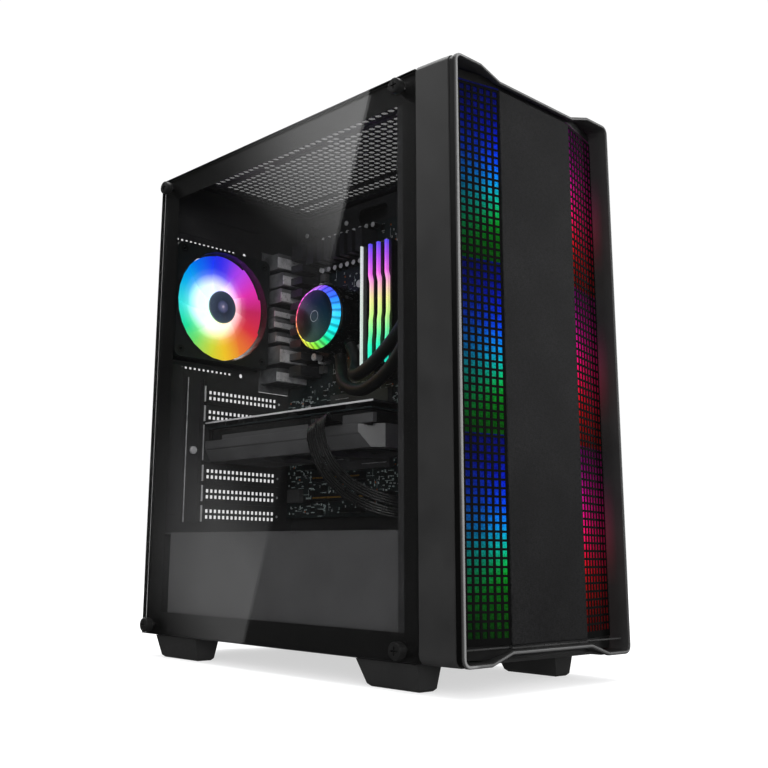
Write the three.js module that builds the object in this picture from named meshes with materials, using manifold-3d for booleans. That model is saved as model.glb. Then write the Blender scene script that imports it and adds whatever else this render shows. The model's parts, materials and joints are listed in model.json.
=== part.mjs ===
// A mid-tower desktop computer with a glass side, a perforated front and liquid cooling.
// Millimetres, +Z up. The front faces -Y, the glass side faces -X, and the feet stand on Z = 0.
import * as THREE from 'three';
import { mergeVertices } from 'three/addons/utils/BufferGeometryUtils.js';
import Module from 'manifold-3d';

const wasm = await Module();
wasm.setup();

// ---- driving dimensions -------------------------------------------------------------------
const HALF_WIDTH = 105;          // outer faces of the glass and of the steel side panel
const FRONT_Y = -208;            // front rim of the bezel
const BEZEL_BACK_Y = -166.4;     // where the bezel meets the steel chassis
const CHASSIS_FRONT_Y = -165.7;
const CHASSIS_BACK_Y = 193;
const REAR_PLATE_Y = 184;        // inner face of the rear panel
const BASE_Z = 20;               // underside of the chassis, and the height of the feet
const TOP_Z = 480;
const SHEET = 1;                 // steel sheet
const GAP = 0.3;                 // clearance between separate pieces
const INNER_LEFT = -100.5;       // chassis sheet behind the glass
const INNER_RIGHT = 103.3;       // chassis sheet behind the steel side panel

const GLASS = { thick: 4, bottom: 20.5, top: 477 };
const SCREW_HEAD = { radius: 6.5, length: 8 };
const SCREW_SHAFT_RADIUS = 2;
const GLASS_SCREW_Y = [-149.5, 178.5];
const GLASS_SCREW_Z = [29, 466];
const SIDE_SCREW_Z = [60, 430];
const SIDE_SCREW_X = 96;
const SIDE_HEAD_LENGTH = 11.7;

const FAN = { size: 120, depth: 25, bore: 58, hub: 20, tip: 56.5, blades: 9 };
const FRONT_FAN_Z = [387, 253, 119];
const FRONT_FAN_Y = -178.5;      // middle of the fans' depth
const REAR_FAN = { x: -39.3, y: 179.2, z: 350 };
const FAN_BAY = { left: -99.5, right: 22.1, low: 288, high: 412 };   // pressed outward

const TRAY_X = 74;               // left face of the motherboard tray
const SHROUD_TOP = 115;
const SHROUD_LEFT = -97.5;
const SHROUD_BACK = 162;
const BOARD = { face: 66, thick: 1.6, front: -60, back: 183, bottom: 134, top: 439 };
const PORTS = { left: 24, right: 64.1, bottom: 270, top: 424 };
const SLOT_PITCH = 20.32;
const SLOT_TOP_Z = 257;
const SLOT_COUNT = 7;
const CARD_SLOTS = [2, 3];       // counted from 0 at the top: the graphics card fills these two
const CARD = { left: -49.5, right: 50, front: -64, back: 179, bottom: 187, top: 227.5 };
const CARD_FAN = { radius: 41, x: 2, y: [-14, 80] };
const PSU = { left: -76, right: 74, front: 36, back: 183.5, bottom: 24, top: 110 };
const PSU_FAN = { x: -1, y: 106, radius: 57 };
const PUMP = { y: 86, z: 335.5, base: 59.5, face: 15, radius: 35.5, cap: 29 };
const RAM = { y: [-9.5, 1.8, 13.1, 24.4], left: 24, bottom: 276, top: 400 };
const RADIATOR = { half: 60, back: -137, front: -164.2, bottom: 182, top: 457 };

// ---- looks --------------------------------------------------------------------------------
const finish = (color, roughness, metalness = 0) => ({ color, roughness, metalness });
const LOOKS = {
  steel: finish(0x17181a, 0.5, 0.4),
  plastic: finish(0x141415, 0.45),
  brushed: finish(0x1d1d1f, 0.55, 0.3),
  glass: finish(0x0b0c0e, 0.08),
  board: finish(0x0e1012, 0.6),
  darkMetal: finish(0x2a2b2e, 0.4, 0.9),
  lamp: finish(0xd8dce4, 0.3),
  mesh: finish(0x121214, 0.6, 0.3),
  sleeve: finish(0x0d0d0e, 0.8),
};

// ---- building blocks ----------------------------------------------------------------------
const AXES = {
  x: [new THREE.Vector3(0, 1, 0), new THREE.Vector3(0, 0, 1), new THREE.Vector3(1, 0, 0)],
  y: [new THREE.Vector3(1, 0, 0), new THREE.Vector3(0, 0, 1), new THREE.Vector3(0, -1, 0)],
  z: [new THREE.Vector3(1, 0, 0), new THREE.Vector3(0, 1, 0), new THREE.Vector3(0, 0, 1)],
};

function toSolid(geometry) {
  geometry.deleteAttribute('normal');
  geometry.deleteAttribute('uv');
  const merged = mergeVertices(geometry, 1e-4);
  return new wasm.Manifold(new wasm.Mesh({
    numProp: 3,
    vertProperties: new Float32Array(merged.attributes.position.array),
    triVerts: new Uint32Array(merged.index.array),
  }));
}

// A rectangular block between two corners.
function block(x, y, z) {
  const geometry = new THREE.BoxGeometry(x[1] - x[0], y[1] - y[0], z[1] - z[0]);
  geometry.translate((x[0] + x[1]) / 2, (y[0] + y[1]) / 2, (z[0] + z[1]) / 2);
  return toSolid(geometry);
}

// A round bar along an axis; centre holds its two other coordinates, in X, Y, Z order.
function bar(axis, centre, radius, from, to, sides = 24) {
  const outline = new THREE.Shape();
  outline.absarc(centre[0], centre[1], radius, 0, Math.PI * 2);
  return prism(axis, outline, from, to, Math.round(sides / 2));
}

// An outline pushed along an axis. It is drawn in (y, z) for x, in (x, z) for y, in (x, y) for z.
function prism(axis, outline, from, to, curveSegments = 4) {
  const shape = Array.isArray(outline)
    ? new THREE.Shape(outline.map(([a, b]) => new THREE.Vector2(a, b)))
    : outline;
  const geometry = new THREE.ExtrudeGeometry(shape, { depth: to - from, bevelEnabled: false, curveSegments });
  geometry.applyMatrix4(new THREE.Matrix4().makeBasis(...AXES[axis]));
  const shift = axis === 'y' ? to : from;
  geometry.translate(axis === 'x' ? shift : 0, axis === 'y' ? shift : 0, axis === 'z' ? shift : 0);
  return toSolid(geometry);
}

// A rectangle with round corners.
function roundRect(a, b, radius) {
  const shape = new THREE.Shape();
  const quarter = Math.PI / 2;
  shape.absarc(a[1] - radius, b[1] - radius, radius, 0, quarter);
  shape.absarc(a[0] + radius, b[1] - radius, radius, quarter, 2 * quarter);
  shape.absarc(a[0] + radius, b[0] + radius, radius, 2 * quarter, 3 * quarter);
  shape.absarc(a[1] - radius, b[0] + radius, radius, 3 * quarter, 4 * quarter);
  shape.closePath();
  return shape;
}

// A solid through a row of closed outlines that have the same number of points.
function loft(sections) {
  const count = sections[0].length;
  const index = [];
  for (let s = 0; s < sections.length - 1; s += 1) {
    for (let i = 0; i < count; i += 1) {
      const a = s * count + i;
      const b = s * count + ((i + 1) % count);
      index.push(a, b, b + count, a, b + count, a + count);
    }
  }
  const last = (sections.length - 1) * count;
  const flat = capPlane(sections[0]);
  const turned = THREE.ShapeUtils.isClockWise(flat);
  for (const [p, q, r] of THREE.ShapeUtils.triangulateShape(flat, [])) {
    const [a, b, c] = turned ? [r, q, p] : [p, q, r];
    index.push(c, b, a);
    index.push(last + a, last + b, last + c);
  }
  const geometry = new THREE.BufferGeometry();
  geometry.setAttribute('position', new THREE.Float32BufferAttribute(sections.flat(2), 3));
  geometry.setIndex(index);
  const solid = toSolid(geometry);
  if (solid.volume() > 0) {
    return solid;
  }
  const flipped = [];
  for (let i = 0; i < index.length; i += 3) {
    flipped.push(index[i], index[i + 2], index[i + 1]);
  }
  geometry.setIndex(flipped);
  return toSolid(geometry);
}

// The first section seen along the axis in which it is flattest.
function capPlane(section) {
  const spread = [0, 1, 2].map((k) => {
    const values = section.map((point) => point[k]);
    return Math.max(...values) - Math.min(...values);
  });
  const skip = spread.indexOf(Math.min(...spread));
  const keep = [0, 1, 2].filter((k) => k !== skip);
  return section.map((point) => new THREE.Vector2(point[keep[0]], point[keep[1]]));
}

// A round cable through a list of points.
function cable(points, radius, steps, sides = 8) {
  const path = new THREE.CatmullRomCurve3(points.map((p) => new THREE.Vector3(...p)), false, 'centripetal');
  const section = new THREE.Shape();
  for (let i = 0; i < sides; i += 1) {
    const angle = (i / sides) * Math.PI * 2;
    const point = [Math.cos(angle) * radius, Math.sin(angle) * radius];
    if (i === 0) {
      section.moveTo(...point);
    } else {
      section.lineTo(...point);
    }
  }
  section.closePath();
  return toSolid(new THREE.ExtrudeGeometry(section, { steps, extrudePath: path, bevelEnabled: false }));
}

const join = (...solids) => solids.reduce((sum, solid) => sum.add(solid));
const cut = (solid, ...tools) => tools.reduce((rest, tool) => rest.subtract(tool), solid);

const tower = new THREE.Group();

// Adds one named piece, and returns its mesh so that it can be placed.
function piece(name, solid, look) {
  const { vertProperties, triVerts } = solid.getMesh();
  const geometry = new THREE.BufferGeometry();
  geometry.setAttribute('position', new THREE.BufferAttribute(new Float32Array(vertProperties), 3));
  geometry.setIndex(new THREE.BufferAttribute(new Uint32Array(triVerts), 1));
  geometry.computeVertexNormals();
  const mesh = new THREE.Mesh(geometry, new THREE.MeshStandardMaterial(LOOKS[look]));
  mesh.name = name;
  tower.add(mesh);
  return mesh;
}

// ---- chassis ------------------------------------------------------------------------------
function bottomPanel() {
  let solid = block([INNER_LEFT, INNER_RIGHT], [CHASSIS_FRONT_Y, CHASSIS_BACK_Y], [BASE_Z, BASE_Z + SHEET]);
  for (let i = -3; i <= 3; i += 1) {
    const x = PSU_FAN.x + i * 14;
    const halfLength = Math.sqrt(56 ** 2 - (i * 14) ** 2);
    const slot = block([x - 5, x + 5], [PSU_FAN.y - halfLength, PSU_FAN.y + halfLength], [0, 30]);
    solid = cut(solid, slot);
  }
  for (const side of [-1, 1]) {
    const x = PSU_FAN.x + side * 62.5;
    const wall = block([x - 0.6, x + 0.6], [30, 190], [BASE_Z - 4.4, BASE_Z + 0.5]);
    const edge = x - side * 1.9;
    const lip = block([edge - 2.5, edge + 2.5], [30, 190], [BASE_Z - 4.4, BASE_Z - 3.4]);
    solid = join(solid, wall, lip);
  }
  const stop = block([PSU_FAN.x - 62.5, PSU_FAN.x + 62.5], [28.5, 30], [BASE_Z - 4.4, BASE_Z + 0.5]);
  return join(solid, stop);
}

function slotZ(index) {
  return SLOT_TOP_Z - index * SLOT_PITCH;
}

// A ring and crossed spokes over a round opening, seen along Y.
function fanGuard(x, z, radius, y) {
  const ring = cut(bar('y', [x, z], 42, ...y, 32), bar('y', [x, z], 38, y[0] - 1, y[1] + 1, 32));
  const spokes = join(
    block([x - radius - 1, x + radius + 1], y, [z - 2, z + 2]),
    block([x - 2, x + 2], y, [z - radius - 1, z + radius + 1]),
  );
  return join(ring, spokes, bar('y', [x, z], 20, ...y, 24));
}

function rearPanel() {
  const low = BASE_Z + SHEET + GAP;
  const high = TOP_Z - 10;
  const plate = [REAR_PLATE_Y, REAR_PLATE_Y + SHEET];
  const through = [REAR_PLATE_Y - 1, CHASSIS_BACK_Y + 2];
  let solid = block([INNER_LEFT, INNER_RIGHT], plate, [low, high]);
  for (const [a, b] of [[INNER_LEFT, INNER_LEFT + SHEET], [INNER_RIGHT - SHEET, INNER_RIGHT]]) {
    solid = join(solid, block([a, b], [REAR_PLATE_Y, CHASSIS_BACK_Y], [low, high]));
  }
  // a flange that the side panel's thumbscrews clamp
  const outer = [CHASSIS_BACK_Y - SHEET, CHASSIS_BACK_Y];
  solid = join(solid, block([INNER_RIGHT - 18, INNER_RIGHT], outer, [low, high]));
  // the plate runs up between the top panel's side flanges, to just under its skin
  const between = [INNER_LEFT + SHEET + GAP, INNER_RIGHT - SHEET - GAP];
  solid = join(solid, block(between, plate, [high - 1, TOP_Z - 1 - SHEET - GAP]));
  for (const z of SIDE_SCREW_Z) {
    solid = cut(solid, bar('y', [SIDE_SCREW_X, z], SCREW_SHAFT_RADIUS + GAP, REAR_PLATE_Y - 5, 200, 12));
  }
  // the bay that is pressed outward for the rear fan
  const bayOutside = block(
    [FAN_BAY.left - SHEET, FAN_BAY.right],
    [REAR_PLATE_Y, CHASSIS_BACK_Y],
    [FAN_BAY.low, FAN_BAY.high],
  );
  const bayInside = block(
    [FAN_BAY.left, FAN_BAY.right - SHEET],
    [plate[0] - 1, CHASSIS_BACK_Y - SHEET],
    [FAN_BAY.low + SHEET, FAN_BAY.high - SHEET],
  );
  solid = cut(join(solid, bayOutside), bayInside, bar('y', [REAR_FAN.x, REAR_FAN.z], 57, ...through, 32));
  solid = join(solid, fanGuard(REAR_FAN.x, REAR_FAN.z, 57, outer));
  solid = cut(solid, block([PORTS.left - 1, PORTS.right + 1], through, [PORTS.bottom - 2, PORTS.top + 2]));
  for (let i = 0; i < SLOT_COUNT; i += 1) {
    solid = cut(solid, block([-47, 56], through, [slotZ(i) - 7, slotZ(i) + 7]));
  }
  return cut(solid, block([PSU.left + 4, PSU.right - 4], through, [PSU.bottom + 4, PSU.top - 4]));
}

const FILTER = { left: -80, right: 71, front: -131, back: 160, floor: 472, thick: 2.4 };
const BUTTONS = [
  { name: 'power_button', x: -66, radius: 7.5, rise: 0.9 },
  { name: 'reset_button', x: -46, radius: 4, rise: 0.5 },
];
const PORT_ROW_Y = -148;
const USB_PORTS = [-22, 0, 22];
const JACKS = [40, 54];

function topPanel() {
  const skin = block([INNER_LEFT, INNER_RIGHT], [CHASSIS_FRONT_Y, CHASSIS_BACK_Y], [TOP_Z - 9, TOP_Z - 1]);
  const under = block(
    [INNER_LEFT + SHEET, INNER_RIGHT - SHEET],
    [CHASSIS_FRONT_Y + SHEET, CHASSIS_BACK_Y + 1],
    [TOP_Z - 20, TOP_Z - 1 - SHEET],
  );
  let solid = cut(skin, under);
  // the sunk floor that carries the dust filter
  const rim = block(
    [FILTER.left - SHEET, FILTER.right + SHEET],
    [FILTER.front - SHEET, FILTER.back + SHEET],
    [FILTER.floor - SHEET, TOP_Z - 1],
  );
  const well = block([FILTER.left, FILTER.right], [FILTER.front, FILTER.back], [FILTER.floor, TOP_Z + 1]);
  solid = cut(join(solid, rim), well);
  for (let i = 0; i < 3; i += 1) {
    const y = FILTER.front + 9 + i * 92;
    const opening = block([-72, 63], [y, y + 84], [FILTER.floor - 2, FILTER.floor + 1]);
    solid = cut(solid, opening);
  }
  for (const { x, radius } of BUTTONS) {
    solid = cut(solid, bar('z', [x, PORT_ROW_Y], radius + GAP, TOP_Z - 12, TOP_Z + 1, 20));
  }
  for (const x of USB_PORTS) {
    const socket = block([x - 6.6, x + 6.6], [PORT_ROW_Y - 2.9, PORT_ROW_Y + 2.9], [TOP_Z - 12, TOP_Z + 1]);
    solid = cut(solid, socket);
  }
  for (const x of JACKS) {
    solid = cut(solid, bar('z', [x, PORT_ROW_Y], 3, TOP_Z - 12, TOP_Z + 1, 16));
  }
  return solid;
}

function frontChassisPanel() {
  const low = BASE_Z + SHEET + GAP;
  const high = TOP_Z - 9 - GAP;
  let solid = block([INNER_LEFT, INNER_RIGHT], [CHASSIS_FRONT_Y, CHASSIS_FRONT_Y + SHEET], [low, high]);
  // a folded edge that the glass rests against and its front screws enter
  const fold = block([INNER_LEFT, INNER_LEFT + SHEET], [CHASSIS_FRONT_Y, -142], [low, high]);
  solid = join(solid, fold);
  for (const z of GLASS_SCREW_Z) {
    solid = cut(solid, bar('x', [GLASS_SCREW_Y[0], z], SCREW_SHAFT_RADIUS + GAP, -110, -90, 12));
  }
  for (const z of FRONT_FAN_Z) {
    solid = cut(solid, bar('y', [0, z], 57, CHASSIS_FRONT_Y - 1, CHASSIS_FRONT_Y + 2, 28));
  }
  return solid;
}

function motherboardTray() {
  const low = SHROUD_TOP + SHEET;
  const high = TOP_Z - 11;
  let solid = block([TRAY_X, TRAY_X + SHEET], [-140, REAR_PLATE_Y - GAP], [low, high]);
  const fold = block([TRAY_X, TRAY_X + 12], [-140, -139], [low, high]);
  solid = join(solid, fold);
  const through = [TRAY_X - 2, TRAY_X + 2];
  for (const z of [190, 300, 400]) {
    solid = cut(solid, prism('x', roundRect([-106, -76], [z - 35, z + 35], 8), ...through, 2));
  }
  for (const y of [-30, 60, 140]) {
    solid = cut(solid, prism('x', roundRect([y - 22, y + 22], [446, 462], 6), ...through, 2));
  }
  return solid;
}

function psuShroud() {
  const front = CHASSIS_FRONT_Y + SHEET + GAP;
  const lip = 0.5;
  const top = block(
    [SHROUD_LEFT - lip, TRAY_X],
    [front, REAR_PLATE_Y - GAP],
    [SHROUD_TOP - SHEET, SHROUD_TOP],
  );
  const side = block(
    [SHROUD_LEFT, SHROUD_LEFT + SHEET],
    [front + lip, SHROUD_BACK],
    [BASE_Z + SHEET + GAP, SHROUD_TOP - SHEET / 2],
  );
  return join(top, side);
}

piece('bottom_panel', bottomPanel(), 'steel');
piece('rear_panel', rearPanel(), 'steel');
piece('top_panel', topPanel(), 'steel');
piece('front_chassis_panel', frontChassisPanel(), 'steel');
piece('motherboard_tray', motherboardTray(), 'steel');
piece('psu_shroud', psuShroud(), 'steel');

// Four tapered feet; the right-hand pair stands further in from its side of the case.
function foot(x, y, insetFront, insetBack) {
  const ring = (z, inX, front, back) => [
    [x[0] + inX, y[0] + front, z],
    [x[1] - inX, y[0] + front, z],
    [x[1] - inX, y[1] - back, z],
    [x[0] + inX, y[1] - back, z],
  ];
  return loft([
    ring(BASE_Z - GAP, 0, 0, 0),
    ring(2, 4, insetFront, insetBack),
    ring(0, 6, insetFront + 2, insetBack + 3),
  ]);
}

for (const [side, x] of [['left', [-101, -74.5]], ['right', [65, 91.5]]]) {
  piece(`foot_front_${side}`, foot(x, [-161, -98], 1.5, 8), 'plastic');
  piece(`foot_rear_${side}`, foot(x, [110, 174], 1.5, 5), 'plastic');
}

// ---- front bezel --------------------------------------------------------------------------
// One side's outline of the bezel: round corners, and a shallow dip in the middle of each edge.
function bezelOutline(y, inset, top, bottom, dip) {
  const half = HALF_WIDTH - inset;
  const radius = 7 - inset;
  const corner = (cx, cz, start) => [0, 1, 2, 3].map((k) => {
    const angle = start + (k / 3) * (Math.PI / 2);
    return [cx + Math.cos(angle) * radius, y, cz + Math.sin(angle) * radius];
  });
  const high = top - inset;
  const low = bottom + inset;
  return [
    ...corner(half - radius, high - radius, 0),
    [73.5, y, high],
    [50, y, high - dip],
    [-50, y, high - dip],
    [-73.5, y, high],
    ...corner(-half + radius, high - radius, Math.PI / 2),
    ...corner(-half + radius, low + radius, Math.PI),
    [-73.5, y, low],
    [-50, y, low + dip],
    [50, y, low + dip],
    [73.5, y, low],
    ...corner(half - radius, low + radius, Math.PI * 1.5),
  ];
}

const RIM_DIP = 7.2;
const STRIP = { inner: 47.9, outer: 99.8, frontY: -204.2, slope: 0.235, thick: 1.4, bottom: 34, top: 464 };
const stripY = (x) => STRIP.frontY + Math.max(0, Math.abs(x) - STRIP.inner) * STRIP.slope;

function frontBezel() {
  const rimTop = TOP_Z - 2.5;
  const shell = loft([
    bezelOutline(FRONT_Y, 1, rimTop, BASE_Z + 0.3, RIM_DIP),
    bezelOutline(FRONT_Y + 1, 0, rimTop, BASE_Z + 0.3, RIM_DIP),
    bezelOutline(FRONT_Y + 18, 0, TOP_Z - 1, BASE_Z, 0),
    bezelOutline(BEZEL_BACK_Y, 0, TOP_Z, BASE_Z, 0),
  ]);
  const hollow = loft([
    bezelOutline(FRONT_Y - 1, 3, rimTop, BASE_Z + 0.3, RIM_DIP),
    bezelOutline(FRONT_Y + 1, 3, rimTop, BASE_Z + 0.3, RIM_DIP),
    bezelOutline(FRONT_Y + 18, 3, TOP_Z - 1, BASE_Z, 0),
    bezelOutline(BEZEL_BACK_Y + 1, 3, TOP_Z, BASE_Z, 0),
  ]);
  // the frame behind the front plate and the perforated strips
  const columns = [-103.5, -STRIP.inner, STRIP.inner, 103.5];
  const near = columns.map((x) => [x, stripY(x) + STRIP.thick + GAP]);
  const far = columns.map((x) => [x, stripY(x) + STRIP.thick + 3]).reverse();
  const ledge = cut(
    prism('z', [...near, ...far], BASE_Z, TOP_Z),
    block([-90, 90], [-215, -180], [46, 454]),
  );
  return join(cut(shell, hollow), ledge.intersect(shell));
}

function frontStrip(side) {
  const { inner, outer, thick, bottom, top } = STRIP;
  const near = [inner, outer].map((x) => [side * x, stripY(x)]);
  const far = [outer, inner].map((x) => [side * x, stripY(x) + thick]);
  return prism('z', [...near, ...far], bottom, top);
}

piece('front_bezel', frontBezel(), 'plastic');
piece('mesh_strip_left', frontStrip(-1), 'mesh');
piece('mesh_strip_right', frontStrip(1), 'mesh');
piece('front_centre_plate', block([-47.5, 47.5], [-205.2, -202.8], [34, 464]), 'brushed');

// ---- side panels --------------------------------------------------------------------------
function thumbscrewSolid(headLength, shaftLength) {
  const head = bar('z', [0, 0], SCREW_HEAD.radius, 0, headLength, 14);
  const shaft = bar('z', [0, 0], SCREW_SHAFT_RADIUS, -shaftLength, 1, 6);
  const arms = [[3.4, 0.6], [0.6, 3.4]].map(
    ([a, b]) => block([-a, a], [-b, b], [headLength - 2, headLength + 1]),
  );
  return cut(join(head, shaft), ...arms);
}

function glassPanel() {
  const outline = [CHASSIS_FRONT_Y, CHASSIS_BACK_Y];
  let solid = block([-HALF_WIDTH, -HALF_WIDTH + GLASS.thick], outline, [GLASS.bottom, GLASS.top]);
  for (const y of GLASS_SCREW_Y) {
    for (const z of GLASS_SCREW_Z) {
      solid = cut(solid, bar('x', [y, z], SCREW_SHAFT_RADIUS + 1, -110, -95, 12));
    }
  }
  return solid;
}

function sidePanel() {
  const skin = block([HALF_WIDTH - SHEET, HALF_WIDTH], [CHASSIS_FRONT_Y, CHASSIS_BACK_Y + 1.3], [20.5, 477]);
  const tab = block(
    [INNER_RIGHT - 17, HALF_WIDTH],
    [CHASSIS_BACK_Y + GAP, CHASSIS_BACK_Y + 1.3],
    [40, 450],
  );
  let solid = join(skin, tab);
  for (const z of SIDE_SCREW_Z) {
    solid = cut(solid, bar('y', [SIDE_SCREW_X, z], SCREW_SHAFT_RADIUS + 1, 190, 200, 12));
  }
  return solid;
}

piece('glass_panel', glassPanel(), 'glass');
const CORNERS = ['front_bottom', 'front_top', 'rear_bottom', 'rear_top'];
GLASS_SCREW_Y.forEach((y, j) => GLASS_SCREW_Z.forEach((z, k) => {
  const name = `glass_screw_${CORNERS[j * 2 + k]}`;
  const screw = piece(name, thumbscrewSolid(SCREW_HEAD.length, 7), 'darkMetal');
  screw.rotation.y = -Math.PI / 2;
  screw.position.set(-HALF_WIDTH - GAP, y, z);
}));
piece('steel_side_panel', sidePanel(), 'steel');
SIDE_SCREW_Z.forEach((z, k) => {
  const name = `side_screw_${['bottom', 'top'][k]}`;
  const screw = piece(name, thumbscrewSolid(SIDE_HEAD_LENGTH - 1.6, 6), 'darkMetal');
  screw.rotation.x = -Math.PI / 2;
  screw.position.set(SIDE_SCREW_X, CHASSIS_BACK_Y + 1.6, z);
});

// ---- top and bottom filters, buttons and front ports -------------------------------------------
function filterPlate(x, y, z, border) {
  const frame = block(x, y, z);
  const low = z[0] - 1;
  const sunk = block([x[0] + border, x[1] - border], [y[0] + border, y[1] - border], [low, z[0] + 1]);
  return cut(frame, sunk);
}

const topFilterZ = [FILTER.floor + GAP, FILTER.floor + GAP + FILTER.thick];
piece('top_dust_filter', filterPlate(
  [FILTER.left + 0.5, FILTER.right - 0.5],
  [FILTER.front + 0.5, FILTER.back - 0.5],
  topFilterZ,
  8,
), 'mesh');

const slideHalf = 61.4;
piece('psu_dust_filter', join(
  filterPlate([PSU_FAN.x - slideHalf, PSU_FAN.x + slideHalf], [31, 192], [BASE_Z - 3, BASE_Z - 0.6], 7),
  block([PSU_FAN.x - 18, PSU_FAN.x + 18], [191, 199], [BASE_Z - 5, BASE_Z - 0.6]),
), 'plastic');

for (const { name, x, radius, rise } of BUTTONS) {
  const cap = bar('z', [x, PORT_ROW_Y], radius, TOP_Z - 8, TOP_Z - 1 + rise, 20);
  const flange = bar('z', [x, PORT_ROW_Y], radius + 1.5, TOP_Z - 5, TOP_Z - 1 - SHEET - GAP, 20);
  piece(name, join(cap, flange), 'plastic');
}

function frontPortModule() {
  const base = [TOP_Z - 21, TOP_Z - 17];
  let solid = block([-76, 66], [PORT_ROW_Y - 13, PORT_ROW_Y + 9], base);
  for (const x of USB_PORTS) {
    const shell = block([x - 7.6, x + 7.6], [PORT_ROW_Y - 3.9, PORT_ROW_Y + 3.9], [base[0], TOP_Z - 2.4]);
    const socket = block([x - 6.1, x + 6.1], [PORT_ROW_Y - 2.5, PORT_ROW_Y + 2.5], [TOP_Z - 15, TOP_Z]);
    solid = join(solid, cut(shell, socket));
  }
  for (const x of JACKS) {
    const barrel = bar('z', [x, PORT_ROW_Y], 4, base[0], TOP_Z - 2.4, 16);
    solid = join(solid, cut(barrel, bar('z', [x, PORT_ROW_Y], 1.8, TOP_Z - 15, TOP_Z, 10)));
  }
  return solid;
}

piece('front_port_module', frontPortModule(), 'plastic');

// ---- fans ---------------------------------------------------------------------------------
// Built along +Z: air leaves on the side of the motor arms, at the low end.
function fanFrame() {
  const { size, depth, bore, hub } = FAN;
  let solid = cut(
    prism('z', roundRect([-size / 2, size / 2], [-size / 2, size / 2], 7), -depth / 2, depth / 2, 2),
    bar('z', [0, 0], bore, -depth, depth, 28),
  );
  for (const x of [-52.5, 52.5]) {
    for (const y of [-52.5, 52.5]) {
      solid = cut(solid, bar('z', [x, y], 2.15, -depth, depth, 6));
    }
  }
  const floor = [-depth / 2, -depth / 2 + 3.5];
  for (let i = 0; i < 4; i += 1) {
    const arm = block([0, bore + 1], [-2, 2], floor);
    solid = join(solid, arm.rotate([0, 0, 30 + i * 90]));
  }
  return join(solid, bar('z', [0, 0], hub, -depth / 2, -depth / 2 + 4, 20));
}

// Swept blades with more pitch at the hub than at the tip.
function rotor(hub, tip, height, blades, low) {
  let solid = bar('z', [0, 0], hub, low, low + height, 18);
  for (let i = 0; i < blades; i += 1) {
    const sections = [0, 1].map((t) => {
      const radius = hub - 2 + (tip - hub + 2) * t;
      const pitch = THREE.MathUtils.degToRad(48 - 20 * t);
      const chord = Math.min((2 * Math.PI * radius) / blades * 0.82, 30);
      const sweep = 0.3 * t;
      const dx = (Math.cos(pitch) * chord) / 2;
      const dz = Math.min((Math.sin(pitch) * chord) / 2, height / 2 - 1);
      const corners = [[-dx, -dz - 0.8], [dx, dz - 0.8], [dx, dz + 0.8], [-dx, -dz + 0.8]];
      return corners.map(([along, z]) => {
        const angle = sweep + along / radius;
        return [Math.cos(angle) * radius, Math.sin(angle) * radius, z + low + height / 2];
      });
    });
    solid = join(solid, loft(sections).rotate([0, 0, (i * 360) / blades]));
  }
  return solid;
}

const rotorLow = -FAN.depth / 2 + 4.5;
FRONT_FAN_Z.forEach((z, k) => {
  const frame = piece(`front_fan_frame_${k + 1}`, fanFrame(), 'plastic');
  const wheel = piece(`front_fan_rotor_${k + 1}`, rotor(19, FAN.tip, 19, FAN.blades, rotorLow), 'lamp');
  for (const part of [frame, wheel]) {
    part.rotation.x = Math.PI / 2;
    part.position.set(0, FRONT_FAN_Y, z);
  }
});
const rearFrame = piece('rear_fan_frame', fanFrame(), 'plastic');
const rearRotor = piece('rear_fan_rotor', rotor(19, FAN.tip, 19, FAN.blades, rotorLow), 'lamp');
for (const part of [rearFrame, rearRotor]) {
  part.rotation.x = Math.PI / 2;
  part.position.set(REAR_FAN.x, REAR_FAN.y, REAR_FAN.z);
}

// ---- motherboard and what it carries ---------------------------------------------------------
function motherboard() {
  const { face, thick, front, back, bottom, top } = BOARD;
  const into = face + 0.4;
  let solid = block([face, face + thick], [front, back], [bottom, top]);
  // rear port stack, with the mouths of its sockets
  solid = join(solid, block([PORTS.left, into], [150, 182.6], [PORTS.bottom, PORTS.top]));
  const sockets = [
    [27, 55, 404, 418], [29, 43, 384, 396], [29, 43, 366, 378], [27, 41, 350, 358],
    [27, 41, 338, 346], [27, 41, 322, 330], [27, 43, 298, 314], [27, 56, 278, 290],
  ];
  const shield = block(
    [PORTS.left - 0.6, PORTS.right + 0.6],
    [182.5, REAR_PLATE_Y + SHEET],
    [PORTS.bottom - 1.5, PORTS.top + 1.5],
  );
  solid = join(solid, shield);
  for (const [left, right, low, high] of sockets) {
    solid = cut(solid, block([left, right], [172, 190], [low, high]));
  }
  // processor socket frame, memory sockets, card slots, chipset and edge connectors
  const fittings = [
    [60, into, PUMP.y - 28, PUMP.y + 28, PUMP.z - 28, PUMP.z + 28],
    [54, into, 20, 134, 212, 219],
    [58, into, 60, 134, 171, 178],
    [58, into, 20, 134, 150.5, 157.5],
    [58, into, -44, 0, 168, 208],
    [55, into, -58, -50, 300, 352],
    [57, into, -30, 90, 135, 139.5],
    [56, into, 22, 112, 181, 203],
  ];
  for (const y of RAM.y) {
    fittings.push([59, into, y - 3.2, y + 3.2, RAM.bottom - 8, RAM.top + 8]);
  }
  for (const [x0, x1, y0, y1, z0, z1] of fittings) {
    solid = join(solid, block([x0, x1], [y0, y1], [z0, z1]));
  }
  for (const y of RAM.y) {
    const groove = block([58, 62.6], [y - 0.9, y + 0.9], [RAM.bottom - 1, RAM.top + 1]);
    solid = cut(solid, groove);
  }
  return cut(solid, block([53, 61], [34, 132], [214.6, 216.4]));
}

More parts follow.
